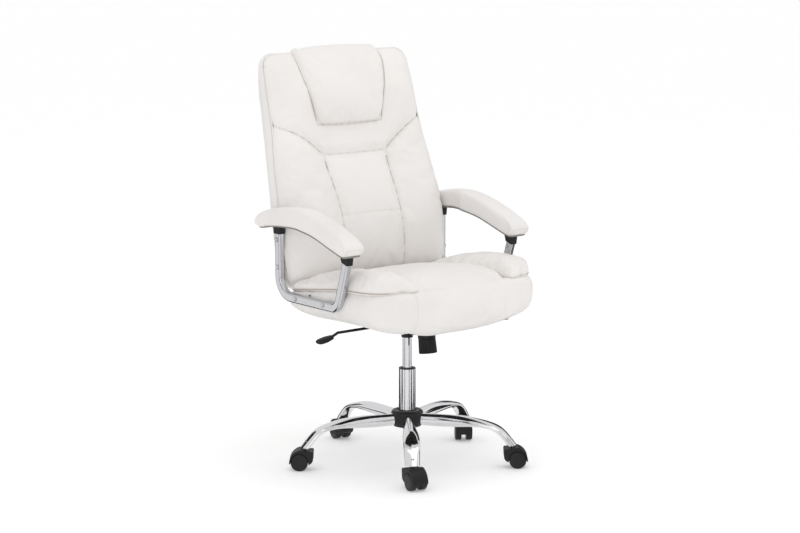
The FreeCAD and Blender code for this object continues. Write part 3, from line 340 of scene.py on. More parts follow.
# %% Plywood and dust cloth
def sanded_plywood(name, pale, dark):
    """Noise stretched along the grain: marks 55 mm long and 3.7 mm wide, as colour and as bump."""
    made, tree, place = start(name)
    turn = node(tree, "ShaderNodeMapping", {"Vector": place, "Scale": (6.0, 90.0, 90.0)}).outputs["Vector"]
    fibre = node(tree, "ShaderNodeTexNoise", {"Vector": turn, "Scale": 3.0, "Detail": 6.0}).outputs["Fac"]
    share = node(tree, "ShaderNodeMapRange", {
        "Value": fibre, "From Min": 0.35, "From Max": 0.65}).outputs["Result"]
    colour = node(tree, "ShaderNodeMix", {
        0: share, 6: linear(pale), 7: linear(dark)}, data_type="RGBA").outputs[2]
    bump = node(tree, "ShaderNodeBump", {
        "Height": fibre, "Distance": 0.0003, "Strength": 0.5}).outputs["Normal"]
    return end(made, Base_Color=colour, Roughness=0.7, Normal=bump)


def woven_cloth(name, tone):
    """A checker with threads 1.4 mm apart, as colour and as bump."""
    made, tree, place = start(name)
    weave = node(tree, "ShaderNodeTexChecker", {"Vector": place, "Scale": per_metre(1.43)}).outputs["Fac"]
    colour = node(tree, "ShaderNodeMix", {
        0: weave, 6: linear(tone), 7: shaded(tone, 1.8)}, data_type="RGBA").outputs[2]
    bump = node(tree, "ShaderNodeBump", {
        "Height": weave, "Distance": 0.0002, "Strength": 0.6}).outputs["Normal"]
    return end(made, Base_Color=colour, Roughness=0.9, Normal=bump, Specular_IOR_Level=0.2)


WOOD = sanded_plywood("birch_plywood", "#c4aa89", "#ad9373")
DUST_CLOTH = woven_cloth("polypropylene_dust_cloth", "#1d1d1e")
print("inside:", WOOD.name, DUST_CLOTH.name)

# %% [markdown]
# Each node of the frame gets its finish by the start of its name, in one table.

# %% Finishes on the frame
FINISH = {
    "base_leg": CHROME, "base_hub": CHROME, "column_tube": COLUMN_CHROME, "pressure_tube": COLUMN_CHROME,
    "hub_cover": COVER_PLASTIC, "guide_bush": BLACK_PLASTIC, "caster_stems": STEEL,
    "caster_axle": STEEL, "caster_hood": BLACK_PLASTIC, "caster_wheel": WHEEL_PLASTIC,
    "piston_rod": STEEL, "thrust_bearing": STEEL, "retaining_clip": STEEL, "pivot_pin": STEEL,
    "valve_button": STEEL, "mechanism_housing": BLACK_PAINT, "seat_plate": BLACK_PAINT,
    "spring_seat": BLACK_PAINT, "tilt_spring": BLACK_STEEL, "tension_bolt": STEEL,
    "seat_bolts": STEEL, "tension_knob": BLACK_PLASTIC, "lever_rocker": BLACK_STEEL,
    "lever_rod": BLACK_PAINT, "lever_grip": BLACK_PLASTIC, "arm_frame": ARM_CHROME,
    "arm_bolts": STEEL, "arm_caps": BLACK_PLASTIC, "seat_frame": DUST_CLOTH, "back_board": WOOD,
}
for node_name, piece in nodes.items():
    for opening, finish in FINISH.items():
        if node_name.startswith(opening):
            piece.data.materials.clear()
            piece.data.materials.append(finish)
print("finishes:", len(FINISH), "for", len(nodes), "nodes")

# %% [markdown]
# ## Surfaces from numpy
# Every soft piece is a grid of points worked out as whole arrays. The grid becomes quads, the
# cloth solver blows it out between its seams, and subdivision smooths it. Seams are cut last:
# a sewn seam is a sharp narrow valley, which a solver on a coarse grid can't hold.


# %% Grid to mesh
def skin(name, *grids, around=False, weld=0.0002):
    """A mesh from arrays of points, rows by columns; around joins last column to first."""
    points = []
    quads = []
    count = 0
    for grid in grids:
        rows, columns = grid.shape[:2]
        index = np.arange(rows * columns).reshape(rows, columns) + count
        if around:
            index = np.concatenate([index, index[:, :1]], axis=1)
        corners = (index[:-1, :-1], index[:-1, 1:], index[1:, 1:], index[1:, :-1])
        quads.append(np.stack(corners, axis=-1).reshape(-1, 4))
        points.append(grid.reshape(-1, 3))
        count += rows * columns
    mesh = bpy.data.meshes.new(name)
    mesh.from_pydata(np.concatenate(points).tolist(), [], np.concatenate(quads).tolist())
    edit = bmesh.new()
    edit.from_mesh(mesh)
    bmesh.ops.remove_doubles(edit, verts=edit.verts, dist=weld)
    bmesh.ops.recalc_face_normals(edit, faces=edit.faces)
    edit.to_mesh(mesh)
    edit.free()
    piece = bpy.data.objects.new(name, mesh)
    bpy.context.scene.collection.objects.link(piece)
    smooth(piece)
    return piece


def capped(grid):
    """A tube's rings with a one-point ring at each end, the mean of the ring beside it."""
    first, last = (np.broadcast_to(ring.mean(axis=0), ring.shape)[None] for ring in (grid[0], grid[-1]))
    return np.concatenate([first, grid, last])


def smooth(piece):
    """Shade every face smoothly."""
    piece.data.polygons.foreach_set("use_smooth", [True] * len(piece.data.polygons))


def read(piece):
    """The piece's points as an array."""
    flat = np.empty(len(piece.data.vertices) * 3)
    piece.data.vertices.foreach_get("co", flat)
    return flat.reshape(-1, 3)


def write(piece, points):
    """Put an array of points back."""
    piece.data.vertices.foreach_set("co", points.ravel())
    piece.data.update()


def normals(piece):
    """The piece's outward directions, one at each point."""
    flat = np.empty(len(piece.data.vertices) * 3)
    piece.data.vertex_normals.foreach_get("vector", flat)
    return flat.reshape(-1, 3)


def soften(piece, levels=1):
    """Apply subdivision, so that later cuts have points to move."""
    modifier = piece.modifiers.new("soften", "SUBSURF")
    modifier.levels = levels
    modifier.render_levels = levels
    bpy.context.view_layer.update()
    graph = bpy.context.evaluated_depsgraph_get()
    mesh = bpy.data.meshes.new_from_object(piece.evaluated_get(graph))
    piece.modifiers.clear()
    piece.data = mesh
    smooth(piece)


# %% Cloth
def blow_out(piece, held, pressure=4.0, cap=0.008, slack=0.01, steps=16):
    """Cloth under pressure: held is 1 at seams and 0 between them, and no point moves past cap."""
    start = read(piece)
    group = piece.vertex_groups.new(name="held")
    levels = np.round(held, 3)
    for weight in np.unique(levels[levels > 0.02]):
        group.add(np.flatnonzero(levels == weight).tolist(), float(weight), "REPLACE")
    cloth = piece.modifiers.new("cloth", "CLOTH")
    cloth.settings.quality = 4
    cloth.settings.mass = 0.3
    cloth.settings.tension_stiffness = 20
    cloth.settings.compression_stiffness = 20
    cloth.settings.bending_stiffness = 2.0
    cloth.settings.shrink_min = -slack
    cloth.settings.use_pressure = True
    cloth.settings.uniform_pressure_force = pressure
    cloth.settings.vertex_group_mass = "held"
    cloth.settings.effector_weights.gravity = 0.0
    cloth.collision_settings.use_collision = False
    for step in range(1, steps + 1):
        bpy.context.scene.frame_set(step)
    graph = bpy.context.evaluated_depsgraph_get()
    evaluated = piece.evaluated_get(graph)
    flat = np.empty(len(piece.data.vertices) * 3)
    evaluated.data.vertices.foreach_get("co", flat)
    move = flat.reshape(-1, 3) - start
    size = np.linalg.norm(move, axis=1, keepdims=True) + 1e-9
    piece.modifiers.clear()
    bpy.context.scene.frame_set(1)
    write(piece, start + move * np.minimum(1.0, cap / size))
    print(piece.name, "cloth moved up to %.1f mm, mean %.1f mm" % (size.max() * 1000, size.mean() * 1000))


# %% Seams
def to_line(points, line):
    """Least distance from each point to a chain of straight stretches, any number of axes."""
    line = np.asarray(line, float)
    best = np.full(len(points), 1e9)
    for a, b in zip(line[:-1], line[1:]):
        run = b - a
        share = np.clip(((points - a) @ run) / (run @ run), 0, 1)
        best = np.minimum(best, np.linalg.norm(points - a - share[:, None] * run, axis=1))
    return best


def curve(points, count=60):
    """A smooth line through a few points: Catmull-Rom, even steps between them."""
    p = np.asarray(points, float)
    p = np.concatenate([[2 * p[0] - p[1]], p, [2 * p[-1] - p[-2]]])
    t = np.linspace(0, len(p) - 3 - 1e-9, count)
    i = t.astype(int)
    t = (t - i)[:, None]
    a, b, c, d = p[i], p[i + 1], p[i + 2], p[i + 3]
    return 0.5 * (2 * b + (c - a) * t + (2 * a - 5 * b + 4 * c - d) * t**2 + (3 * b - a - 3 * c + d) * t**3)


def sewn(piece, distance, depth, width, dark=1.0, painted_shade_width=None):
    """Pull points in along their normals by depth * exp(-distance / width), and paint shade along the line.
    """
    points = read(piece)
    write(piece, points - normals(piece) * (depth * np.exp(-distance / width))[:, None])
    paint_shade(piece, dark * np.exp(-(distance / (painted_shade_width or width * 0.5)) ** 2))


def tube(name, path, radius, sides=8):
    """A closed thin tube: rings of points round a path, square to it, with both ends drawn to a point."""
    path = np.asarray(path, float)
    run = np.gradient(path, axis=0)
    run /= np.linalg.norm(run, axis=1, keepdims=True) + 1e-12
    side = np.cross(run, (0.13, 0.31, 0.94))
    side /= np.linalg.norm(side, axis=1, keepdims=True)
    up = np.cross(side, run)
    angle = np.linspace(0, 2 * np.pi, sides, endpoint=False)
    ring = side[:, None, :] * np.cos(angle)[None, :, None] + up[:, None, :] * np.sin(angle)[None, :, None]
    thick = radius * np.minimum(1.0, np.minimum(np.arange(len(path)), np.arange(len(path))[::-1]) / 3.0)
    return skin(name, path[:, None, :] + ring * thick[:, None, None], around=True, weld=1e-6)


def drop_on(pieces, points, toward, sink=0.0):
    """Move each point along a direction until it meets one of the pieces, then sink it a little."""
    toward = np.asarray(toward, float)
    found = []
    trees = []
    for piece in pieces:
        faces = [tuple(face.vertices) for face in piece.data.polygons]
        trees.append(BVHTree.FromPolygons(read(piece).tolist(), faces))
    for point in np.asarray(points, float):
        start = point - toward * 0.4
        hits = [tree.ray_cast(start.tolist(), toward.tolist()) for tree in trees]
        near = [(hit[3], hit[0]) for hit in hits if hit[0] is not None]
        if near:
            found.append(np.array(min(near, key=lambda pair: pair[0])[1]) + toward * sink)
    found = np.array(found)
    wide = np.pad(found, ((3, 3), (0, 0)), mode="edge")
    return sum(wide[i:i + len(found)] for i in range(7)) / 7


def thread(name, path, radius=0.0006, material=None):
    """A row of sewing: a thin tube along a path, riding on the seat's body."""
    piece = tube(name, path, radius)
    piece.data.materials.append(material or SEAM_THREAD)
    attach(piece, "seat")
    return piece


def paint_shade(piece, amount):
    """Add painted shade: raise the crease value that the leather reads, never past 1."""
    layer = piece.data.attributes.get("painted_crease_shade") or piece.data.attributes.new("painted_crease_shade", "FLOAT", "POINT")
    old = np.empty(len(piece.data.vertices), np.float32)
    layer.data.foreach_get("value", old)
    layer.data.foreach_set("value", np.clip(np.maximum(old, amount), 0, 1).astype(np.float32))


def upholster(piece, material, body, slot, *replaced, fill=0.7):
    """Give a soft piece its finish and its place in the frame."""
    if piece.data.attributes.get("painted_crease_shade") is None:
        paint_shade(piece, np.zeros(len(piece.data.vertices)))
    piece.data.materials.clear()
    piece.data.materials.append(material)
    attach(piece, body)
    if replaced:
        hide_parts(*replaced)
    low, high = read(piece).min(0), read(piece).max(0)
    print(piece.name, len(piece.data.polygons), "faces", np.round(low, 3), np.round(high, 3))


def ripple(along, *waves):
    """A sum of sines, each (waves a metre, phase, size): small uneven folds."""
    return sum(size * np.sin(2 * np.pi * rate * along + phase) for rate, phase, size in waves)


# %% [markdown]
# ## Backrest
# The front is one blanket of hide over foam. Across the chair it has a flat middle panel and
# two wings whose crowns stand forward of it; at every side it rolls back to a piped edge. A
# table of levels gives the half width and the depths, and smoothing joins the levels.

# %% Levels of the backrest
BACK_LEVELS = np.array([
    # height, half width, middle y, wing y, piping y, rear y
    (0.505, 0.268, 0.178, 0.176, 0.206, 0.238),
    (0.535, 0.282, 0.160, 0.154, 0.196, 0.244),
    (0.590, 0.289, 0.147, 0.139, 0.198, 0.252),
    (0.690, 0.291, 0.150, 0.140, 0.217, 0.267),
    (0.760, 0.289, 0.178, 0.158, 0.231, 0.280),
    (0.860, 0.282, 0.236, 0.206, 0.259, 0.305),
    (0.970, 0.270, 0.283, 0.262, 0.286, 0.340),
    (1.080, 0.267, 0.301, 0.284, 0.317, 0.363),
    (1.150, 0.262, 0.322, 0.314, 0.338, 0.369),
    (1.176, 0.258, 0.336, 0.334, 0.346, 0.368),
])
BACK_BOTTOM = 0.508
BACK_TOP = 1.176
PANEL_HALF = 0.114
STITCH_Z = 0.715
SHOULDER_R = 0.034
HIP_R = 0.034


def level(z, column):
    """A column of the table at height z, with its corners rounded over 50 mm."""
    shifts = np.linspace(-0.025, 0.025, 11)
    rows = [np.interp(z + s, BACK_LEVELS[:, 0], BACK_LEVELS[:, column]) for s in shifts]
    return np.mean(rows, axis=0)


def back_half_width(z):
    """The table's half width, drawn in by quarter circles at the shoulders and the hips."""
    top = np.clip((z - (BACK_TOP - SHOULDER_R)) / SHOULDER_R, 0, 1)
    low = np.clip(((BACK_BOTTOM + HIP_R) - z) / HIP_R, 0, 1)
    inset = SHOULDER_R * (1 - np.sqrt(1 - top**2)) + HIP_R * (1 - np.sqrt(1 - low**2))
    return level(z, 1) - inset


def crowded(count, power=1.7):
    """Values from -1 to 1 that crowd towards both ends."""
    u = np.linspace(-1, 1, count)
    return np.sign(u) * (1 - (1 - np.abs(u)) ** power)


def back_front_y(x, z, half):
    """Depth of the front: middle panel, wings, then a quarter ellipse out to the piping."""
    crown_x = 0.74 * half
    share = np.clip((crown_x - np.abs(x)) / (crown_x - PANEL_HALF * 0.8), 0, 1)
    share = share * share * (3 - 2 * share)
    face = level(z, 3) + (level(z, 2) - level(z, 3)) * share
    side = np.clip((half - np.abs(x)) / 0.080, 0, 1)
    top = np.clip((BACK_TOP - z) / 0.050, 0, 1)
    low = np.clip((z - BACK_BOTTOM) / 0.050, 0, 1)
    roll = np.sqrt(1 - (1 - side) ** 2) * np.sqrt(1 - (1 - top) ** 2) * np.sqrt(1 - (1 - low) ** 2)
    piping = level(z, 4)
    return piping - (piping - face) * roll


YOKE_SEAM = curve([
    (0.114, 0.886), (0.130, 0.899), (0.150, 0.916), (0.178, 0.936), (0.214, 0.956), (0.270, 0.977),
])
INNER_SEAM = curve([(0.114, 0.886), (0.110, 0.800), (0.109, 0.700), (0.113, 0.600), (0.118, 0.500)])


def back_seam_distance(points):
    """Distance across the front, seen along the depth, to the nearest sewn seam."""
    flat = np.stack([np.abs(points[:, 0]), points[:, 2]], axis=1)
    middle = to_line(flat, [(0.0, 0.884), (0.114, 0.886)])
    return np.minimum(np.minimum(to_line(flat, YOKE_SEAM), to_line(flat, INNER_SEAM)), middle)


def edge_of(points):
    """Distance inwards from the outline, seen along the depth."""
    side = back_half_width(points[:, 2]) - np.abs(points[:, 0])
    return np.minimum(side, np.minimum(BACK_TOP - points[:, 2], points[:, 2] - BACK_BOTTOM))


# %% Head pad outline, shared by the pad and the hollow under it
PAD_PATH = curve([
    # y and z up the front, over the top and a little way down behind
    (0.300, 0.966), (0.272, 0.972), (0.262, 0.992), (0.262, 1.020), (0.268, 1.050), (0.277, 1.080),
    (0.289, 1.110), (0.305, 1.145), (0.321, 1.172), (0.338, 1.187), (0.355, 1.190), (0.369, 1.181),
    (0.374, 1.165), (0.374, 1.140),
], 80)


def pad_half_width(z):
    """Half the pad's width at height z."""
    heights = (0.970, 0.990, 1.050, 1.110, 1.150, 1.190)
    return np.interp(z, heights, (0.117, 0.121, 0.135, 0.150, 0.157, 0.157))


# %% Backrest front
def make_back_front():
    """The blanket: grid, cloth between the seams, then the seams themselves."""
    z = BACK_BOTTOM + (BACK_TOP - BACK_BOTTOM) * (crowded(116, 1.35) + 1) / 2
    z = np.repeat(z[:, None], 104, axis=1)
    half = back_half_width(z)
    x = half * crowded(104, 1.6)
    y = back_front_y(x, z, half)
    piece = skin("back_front", np.stack([x, y, z], axis=-1))
    points = read(piece)
    gap = back_seam_distance(points)
    edge = edge_of(points)
    held = np.maximum(np.exp(-(gap / 0.006) ** 2), np.exp(-(edge / 0.008) ** 2))
    blow_out(piece, held, 5.0, 0.009, 0.012)
    soften(piece)
    points = read(piece)
    gap = back_seam_distance(points)
    height = points[:, 2]
    middle = to_line(np.stack([np.abs(points[:, 0]), height], 1), [(0.0, 0.884), (0.106, 0.886)])
    strength = np.where(middle < 0.02, 0.55, 1.0)
    sewn(piece, gap, 0.0052 * strength, 0.010, 0.0)
    # Painted shade along the seam grooves, 0.16 at most.
    sewn(piece, gap, 0.0018 * strength, 0.0035, 0.16, 0.003)
    fine = ripple(height, (38, 0.4, 0.5), (67, 1.9, 0.35))
    fine = fine + ripple(points[:, 0], (31, 0.2, 0.5), (55, 2.2, 0.3))
    write(piece, read(piece) - normals(piece) * (0.0007 * fine * np.exp(-gap / 0.02))[:, None])
    stitch = np.abs(height - STITCH_Z - 0.004 * np.cos(points[:, 0] * 14))
    stitch = np.where(np.abs(points[:, 0]) < 0.108, stitch, 1.0)
    # Painted shade along the lumbar stitching.
    sewn(piece, stitch, 0.0014, 0.005, 0.06, 0.003)
    under_pad = np.maximum(np.abs(points[:, 0]) - pad_half_width(height), 0.972 - height)
    # Painted shade on the blanket round the head pad's outline, where the pad meets it.
    sewn(piece, np.abs(under_pad), 0.002, 0.006, 0.35, 0.003)
    upholster(piece, LEATHER, "seat", "back_leather", "back_cushion")
    return piece


back_front = make_back_front()
for hand, side in ((1, "left"), (-1, "right")):
    for line, label in ((YOKE_SEAM, "yoke"), (INNER_SEAM[:54], "inner")):
        flat = np.stack([hand * line[:, 0], np.zeros(len(line)), line[:, 1]], axis=1)
        thread("seam_%s_%s" % (label, side), drop_on([back_front], flat, (0, 1, 0), 0.0001))
across = np.linspace(-0.112, 0.112, 50)
flat = np.stack([across, np.zeros(50), 0.886 - 0.002 * np.cos(across * 14)], axis=1)
thread("seam_middle", drop_on([back_front], flat, (0, 1, 0), 0.0002), 0.0005, PALE_THREAD)
flat = np.stack([across * 0.96, np.zeros(50), STITCH_Z + 0.004 * np.cos(across * 13)], axis=1)
thread("stitch_lumbar", drop_on([back_front], flat, (0, 1, 0), 0.0003), 0.0004, PALE_THREAD)


# %% [markdown]
# The shell is what shows at the sides and behind: a band as wide as the backrest is thick,
# and a rear panel. Its grid runs from the front piping across the band, round a small corner
# and over the back to the middle.

# %% Backrest shell
def back_outline(count):
    """The closed edge of the backrest in x and z: sides from the table, straight top and bottom."""
    z = BACK_BOTTOM + (BACK_TOP - BACK_BOTTOM) * (crowded(count, 1.5) + 1) / 2
    right = np.stack([back_half_width(z), z], axis=1)
    left = right[::-1] * (-1, 1)
    top = np.linspace(right[-1], left[0], 60)[1:-1]
    bottom = np.linspace(left[-1], right[0], 60)[1:-1]
    return np.concatenate([right, top, left, bottom])


def make_back_shell():
    """Rings from the piping to the rear edge, then shrinking rings over the rear panel."""
    outline = back_outline(110)
    x, z = outline[:, 0], outline[:, 1]
    middle_z = (BACK_TOP + BACK_BOTTOM) / 2
    rings = []
    for share in np.linspace(0, 1, 12):
        puff = 0.0035 * math.sin(math.pi * share)
        y = level(z, 4) + (level(z, 5) - 0.006 - level(z, 4)) * share
        grow = 1 + puff / 0.27
        rings.append(np.stack([x * grow, y, middle_z + (z - middle_z) * (1 + puff / 0.33)], axis=1))
    for inset in (0.0012, 0.004, 0.008, 0.014, 0.024, 0.040, 0.065, 0.10, 0.14, 0.19, 0.235, 0.262):
        shrink = 1 - inset / 0.2635
        zz = middle_z + (z - middle_z) * shrink
        depth = 0.006 * math.sqrt(1 - (1 - min(inset, 0.008) / 0.008) ** 2)
        bulge = 0.004 * (1 - shrink**4)
        y = level(zz, 5) - 0.006 + depth + bulge
        rings.append(np.stack([x * shrink, y, zz], axis=1))
    piece = skin("back_shell", np.array(rings), around=True)
    points = read(piece)
    edge = edge_of(points)
    band = np.clip((points[:, 1] - level(points[:, 2], 4)) / 0.03, 0, 1)
    held = np.where(edge < 0.02, np.maximum(np.exp(-(edge / 0.003) ** 2) * band, 1 - band), 0.0)
    blow_out(piece, held, 2.0, 0.003, 0.006, 10)
    soften(piece)
    points = read(piece)
    front = np.abs(points[:, 1] - level(points[:, 2], 4))
    # Painted shade along the front piping seam and the rear seam.
    sewn(piece, front, 0.0020, 0.003, 0.25, 0.003)
    rear = np.abs(points[:, 1] - level(points[:, 2], 5) + 0.004)
    near = np.where(edge_of(points) < 0.012, rear, 1.0)
    sewn(piece, near, 0.0015, 0.003, 0.35, 0.0016)
    upholster(piece, LEATHER, "seat", "back_leather", "back_cover", fill=0.9)
    return piece


make_back_shell()
outline = back_outline(110)
ring = np.stack([outline[:, 0], level(outline[:, 1], 4), outline[:, 1]], axis=1)
lower = int(np.argmax(outline[:, 1] > 0.56))
sides = ring[lower:110], ring[168:278 - lower]
for path, side in zip(sides, ("left", "right")):
    thread("edge_seam_" + side, path + (0, 0.0012, 0), 0.0008)
    bead = tube("piping_" + side, path - (0, 0.0022, 0), 0.0022)
    bead.data.materials.append(LEATHER)
    paint_shade(bead, np.zeros(len(bead.data.vertices)))
    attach(bead, "seat")


# %% [markdown]
# The head pad is a pillow sewn on at its bottom edge and carried over the top. Its sides roll
# down to the blanket, which leaves the narrow gaps either side, darkened with painted shade, and
# small puckers stand in its lower edge where the hide is gathered.

# %% Head pad
def make_head_pad():
    """The path carried across the chair, its edges rolled down by a quarter ellipse."""
    columns = 72
    side = crowded(columns, 1.9)
    y, z = PAD_PATH[:, 0], PAD_PATH[:, 1]
    step = np.gradient(PAD_PATH, axis=0)
    step /= np.linalg.norm(step, axis=1, keepdims=True)
    out_y, out_z = -step[:, 1], step[:, 0]
    half = pad_half_width(z)
    x = half[:, None] * side
    from_edge = half[:, None] - np.abs(x)
    drop = 0.026 * (1 - np.sqrt(1 - (1 - np.clip(from_edge / 0.024, 0, 1)) ** 2))
    belly = 0.006 * (1 - side**2)
    offset = belly - drop
    grid = np.stack([x, y[:, None] + out_y[:, None] * offset, z[:, None] + out_z[:, None] * offset], axis=-1)
    piece = skin("head_pad_cover", grid)
    points = read(piece)
    gap = pad_half_width(points[:, 2]) - np.abs(points[:, 0])
    held = np.maximum(np.exp(-(gap / 0.006) ** 2), np.exp(-((points[:, 2] - 0.968) / 0.006) ** 2))
    blow_out(piece, held, 4.0, 0.007, 0.012)
    soften(piece)
    points = read(piece)
    up = points[:, 2] - 0.972
    pucker = ripple(points[:, 0], (42, 0.5, 0.6), (71, 1.4, 0.5), (118, 2.9, 0.3))
    near = np.exp(-np.clip(up, 0, 1) / 0.03) * np.exp(-(points[:, 0] / 0.09) ** 2)
    write(piece, points + normals(piece) * (0.0016 * pucker * near)[:, None])
    points = read(piece)
    gap = pad_half_width(points[:, 2]) - np.abs(points[:, 0])
    # Painted shade in the gaps at the pad's sides and along its sewn lower edge.
    paint_shade(piece, 0.45 * np.exp(-(gap / 0.003) ** 2) + 0.25 * np.exp(-(up / 0.003) ** 2))
    upholster(piece, LEATHER, "seat", "back_leather", "head_pad")
    return piece


head_cover = make_head_pad()
for hand, side in ((1, "left"), (-1, "right")):
    heights = np.linspace(0.975, 1.168, 60)
    flat = np.stack([hand * (pad_half_width(heights) + 0.0005), np.zeros(60), heights], axis=1)
    thread("pad_seam_" + side, drop_on([back_front, head_cover], flat, (0, 1, 0), 0.0004), 0.0010)
across = np.linspace(-0.112, 0.112, 60)
flat = np.stack([across, np.zeros(60), 0.9685 + 0.0006 * np.sin(across * 300)], axis=1)
thread("pad_seam_low", drop_on([back_front, head_cover], flat, (0, 1, 0), 0.0004), 0.0008, PALE_THREAD)

# %% [markdown]
# ## Seat
# Three layers: a wide lower cushion with round front corners, two bolsters along the sides,
# and a middle panel that runs from the backrest over the front edge and under it. One solid
# pushed about by hand could pass for them, but then the seams would be painted lines. Here
# each is its own closed form, so they press on each other and the seams are real gaps.
# The gaps are also darkened with painted shade.

# %% Seat dimensions from the frame
seat_low, seat_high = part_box("seat_cushion_base")
centre_low, centre_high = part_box("seat_centre_pad")
bolster_low, bolster_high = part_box("seat_bolsters")
SEAT_HALF = seat_high.x
SEAT_FRONT = seat_low.y
SEAT_REAR = seat_high.y + 0.034      # tucked under the backrest
CENTRE_HALF = centre_high.x
CENTRE_FRONT = centre_low.y
PANEL_LOW = centre_low.z
SIDE_LOW = 0.466
CORNER_R = 0.098
GROOVE = np.array([(-0.320, 0.561), (-0.250, 0.557), (-0.040, 0.545), (0.140, 0.520), (0.240, 0.506)])
print("seat half width %.3f, front %.3f, rear %.3f" % (SEAT_HALF, SEAT_FRONT, SEAT_REAR))


def groove_z(y):
    """Height of the join between the lower cushion and what lies on it."""
    return np.interp(y, GROOVE[:, 0], GROOVE[:, 1])


# %% Lower cushion
def seat_plan(count):
    """The cushion's outline: straight sides, straight front, quarter-circle front corners."""
    r = CORNER_R
    hx = SEAT_HALF
    turn = np.linspace(0, np.pi / 2, count // 6)
    right = np.stack([np.full(count // 5, hx), np.linspace(SEAT_REAR, SEAT_FRONT + r, count // 5)], 1)
    corner = np.stack([hx - r + r * np.cos(turn), SEAT_FRONT + r - r * np.sin(turn)], 1)
    front = np.stack([np.linspace(hx - r, -hx + r, count // 4), np.full(count // 4, SEAT_FRONT)], 1)
    left = right[::-1] * (-1, 1)
    rear = np.stack([np.linspace(-hx, hx, count // 5), np.full(count // 5, SEAT_REAR)], 1)
    path = np.concatenate([right, corner[1:], front[1:], (corner[::-1] * (-1, 1))[1:], left[1:], rear[1:-1]])
    return path


def make_seat_base():
    """Rings up the cushion: folded under, out to the lower edge, up the side and in at the top."""
    plan = seat_plan(240)
    x, y = plan[:, 0], plan[:, 1]
    centre = np.array([0.0, (SEAT_REAR + SEAT_FRONT) / 2])
    front = np.clip((-y - 0.12) / 0.16, 0, 1)
    middle = np.exp(-(x / 0.20) ** 4)
    low = SIDE_LOW - 0.022 * front * middle
    top = groove_z(y) - 0.002
    rings = []
    for rise, inset in (
        (-0.60, 0.085), (-0.42, 0.050), (-0.22, 0.026), (-0.08, 0.0145), (0.0, 0.0105), (0.06, 0.0075),
        (0.15, 0.0045), (0.28, 0.0018), (0.42, 0.0005), (0.56, 0.0), (0.68, 0.0004), (0.78, 0.002),
        (0.87, 0.005), (0.94, 0.009), (0.985, 0.015), (1.0, 0.024), (1.0, 0.040), (0.99, 0.075),
    ):
        toward = centre - plan
        toward = toward / np.linalg.norm(toward, axis=1, keepdims=True)
        span = np.where(rise < 0, 0.055, top - low)
        z = low + rise * span
        place = plan + toward * inset
        rings.append(np.stack([place[:, 0], place[:, 1], z], axis=1))
    piece = skin("seat_lower_cushion", np.array(rings), around=True)
    points = read(piece)
    held = np.clip(np.exp(-((groove_z(points[:, 1]) - points[:, 2]) / 0.006) ** 2), 0, 1)
    held = np.maximum(held, (points[:, 2] < SIDE_LOW - 0.02).astype(float))
    blow_out(piece, held, 3.0, 0.006, 0.012)
    soften(piece)
    points = read(piece)
    fold = ripple(points[:, 1] + points[:, 0] * 0.4, (9, 0.3, 0.7), (21, 1.1, 0.4))
    mid = np.clip((points[:, 2] - 0.47) / 0.05, 0, 1)
    write(piece, points + normals(piece) * (0.0012 * fold * mid)[:, None])
    side_seam = np.abs(np.abs(points[:, 0]) - 0.186) + np.where(points[:, 1] < -0.22, 0, 1.0)
    side_seam = side_seam + np.where(points[:, 0] > 0, 0.004, 0.0)
    # Painted shade along the side seams.
    sewn(piece, side_seam, 0.0016, 0.004, 0.10, 0.003)
    upholster(piece, LEATHER, "seat", "seat_leather", "seat_cushion_base")
    return piece


make_seat_base()


# %% Middle panel
def make_seat_centre():
    """A profile from the rear over the front edge and under, bowed at the front, rolled at its sides."""
    path = curve([
        (0.150, 0.530), (0.120, 0.546), (0.060, 0.556), (-0.050, 0.570), (-0.150, 0.580), (-0.205, 0.576),
        (-0.248, 0.560), (-0.276, 0.532), (-0.290, 0.500), (-0.291, 0.474), (-0.284, 0.455),
        (-0.268, 0.445), (-0.225, 0.4425),
    ], 110)
    side = crowded(84, 1.9)
    y, z = path[:, :1], path[:, 1:]
    x = CENTRE_HALF * side[None, :] * np.ones_like(y)
    step = np.gradient(path, axis=0)
    step /= np.linalg.norm(step, axis=1, keepdims=True)
    out_y, out_z = step[:, 1:], -step[:, :1]
    ahead = np.clip((-y - 0.15) / 0.10, 0, 1)
    from_edge = CENTRE_HALF - np.abs(x)
    on_top = np.clip((z - 0.50) / 0.05, 0, 1)
    roll = 0.004 + 0.018 * on_top
    drop = roll * (1 - np.sqrt(1 - (1 - np.clip(from_edge / 0.030, 0, 1)) ** 2))
    belly = 0.005 * np.cos(side * np.pi / 2)[None, :]
    offset = belly - drop
    bow = 0.016 * (x / CENTRE_HALF) ** 2 * ahead
    lift = 0.016 * (x / CENTRE_HALF) ** 2 * np.clip((0.50 - z) / 0.06, 0, 1)
    grid = np.stack([x, y + out_y * offset + bow, z + out_z * offset + lift], axis=-1)
    piece = skin("seat_middle_panel", grid)
    points = read(piece)
    gap = CENTRE_HALF - np.abs(points[:, 0])
    held = np.maximum(np.exp(-(gap / 0.007) ** 2), (points[:, 1] > 0.135).astype(float))
    held = np.maximum(held, (points[:, 2] < 0.448).astype(float))
    blow_out(piece, held, 4.0, 0.008, 0.010)
    soften(piece)
    points = read(piece)
    gap = CENTRE_HALF - np.abs(points[:, 0])
    top = np.clip((points[:, 2] - 0.50) / 0.04, 0, 1)
    # Painted shade in the gaps at the panel's sides, stronger on top.
    paint_shade(piece, (0.05 + 0.20 * top) * np.exp(-(gap / 0.003) ** 2))
    upholster(piece, LEATHER, "seat", "seat_leather", "seat_centre_pad")
    return piece


make_seat_centre()


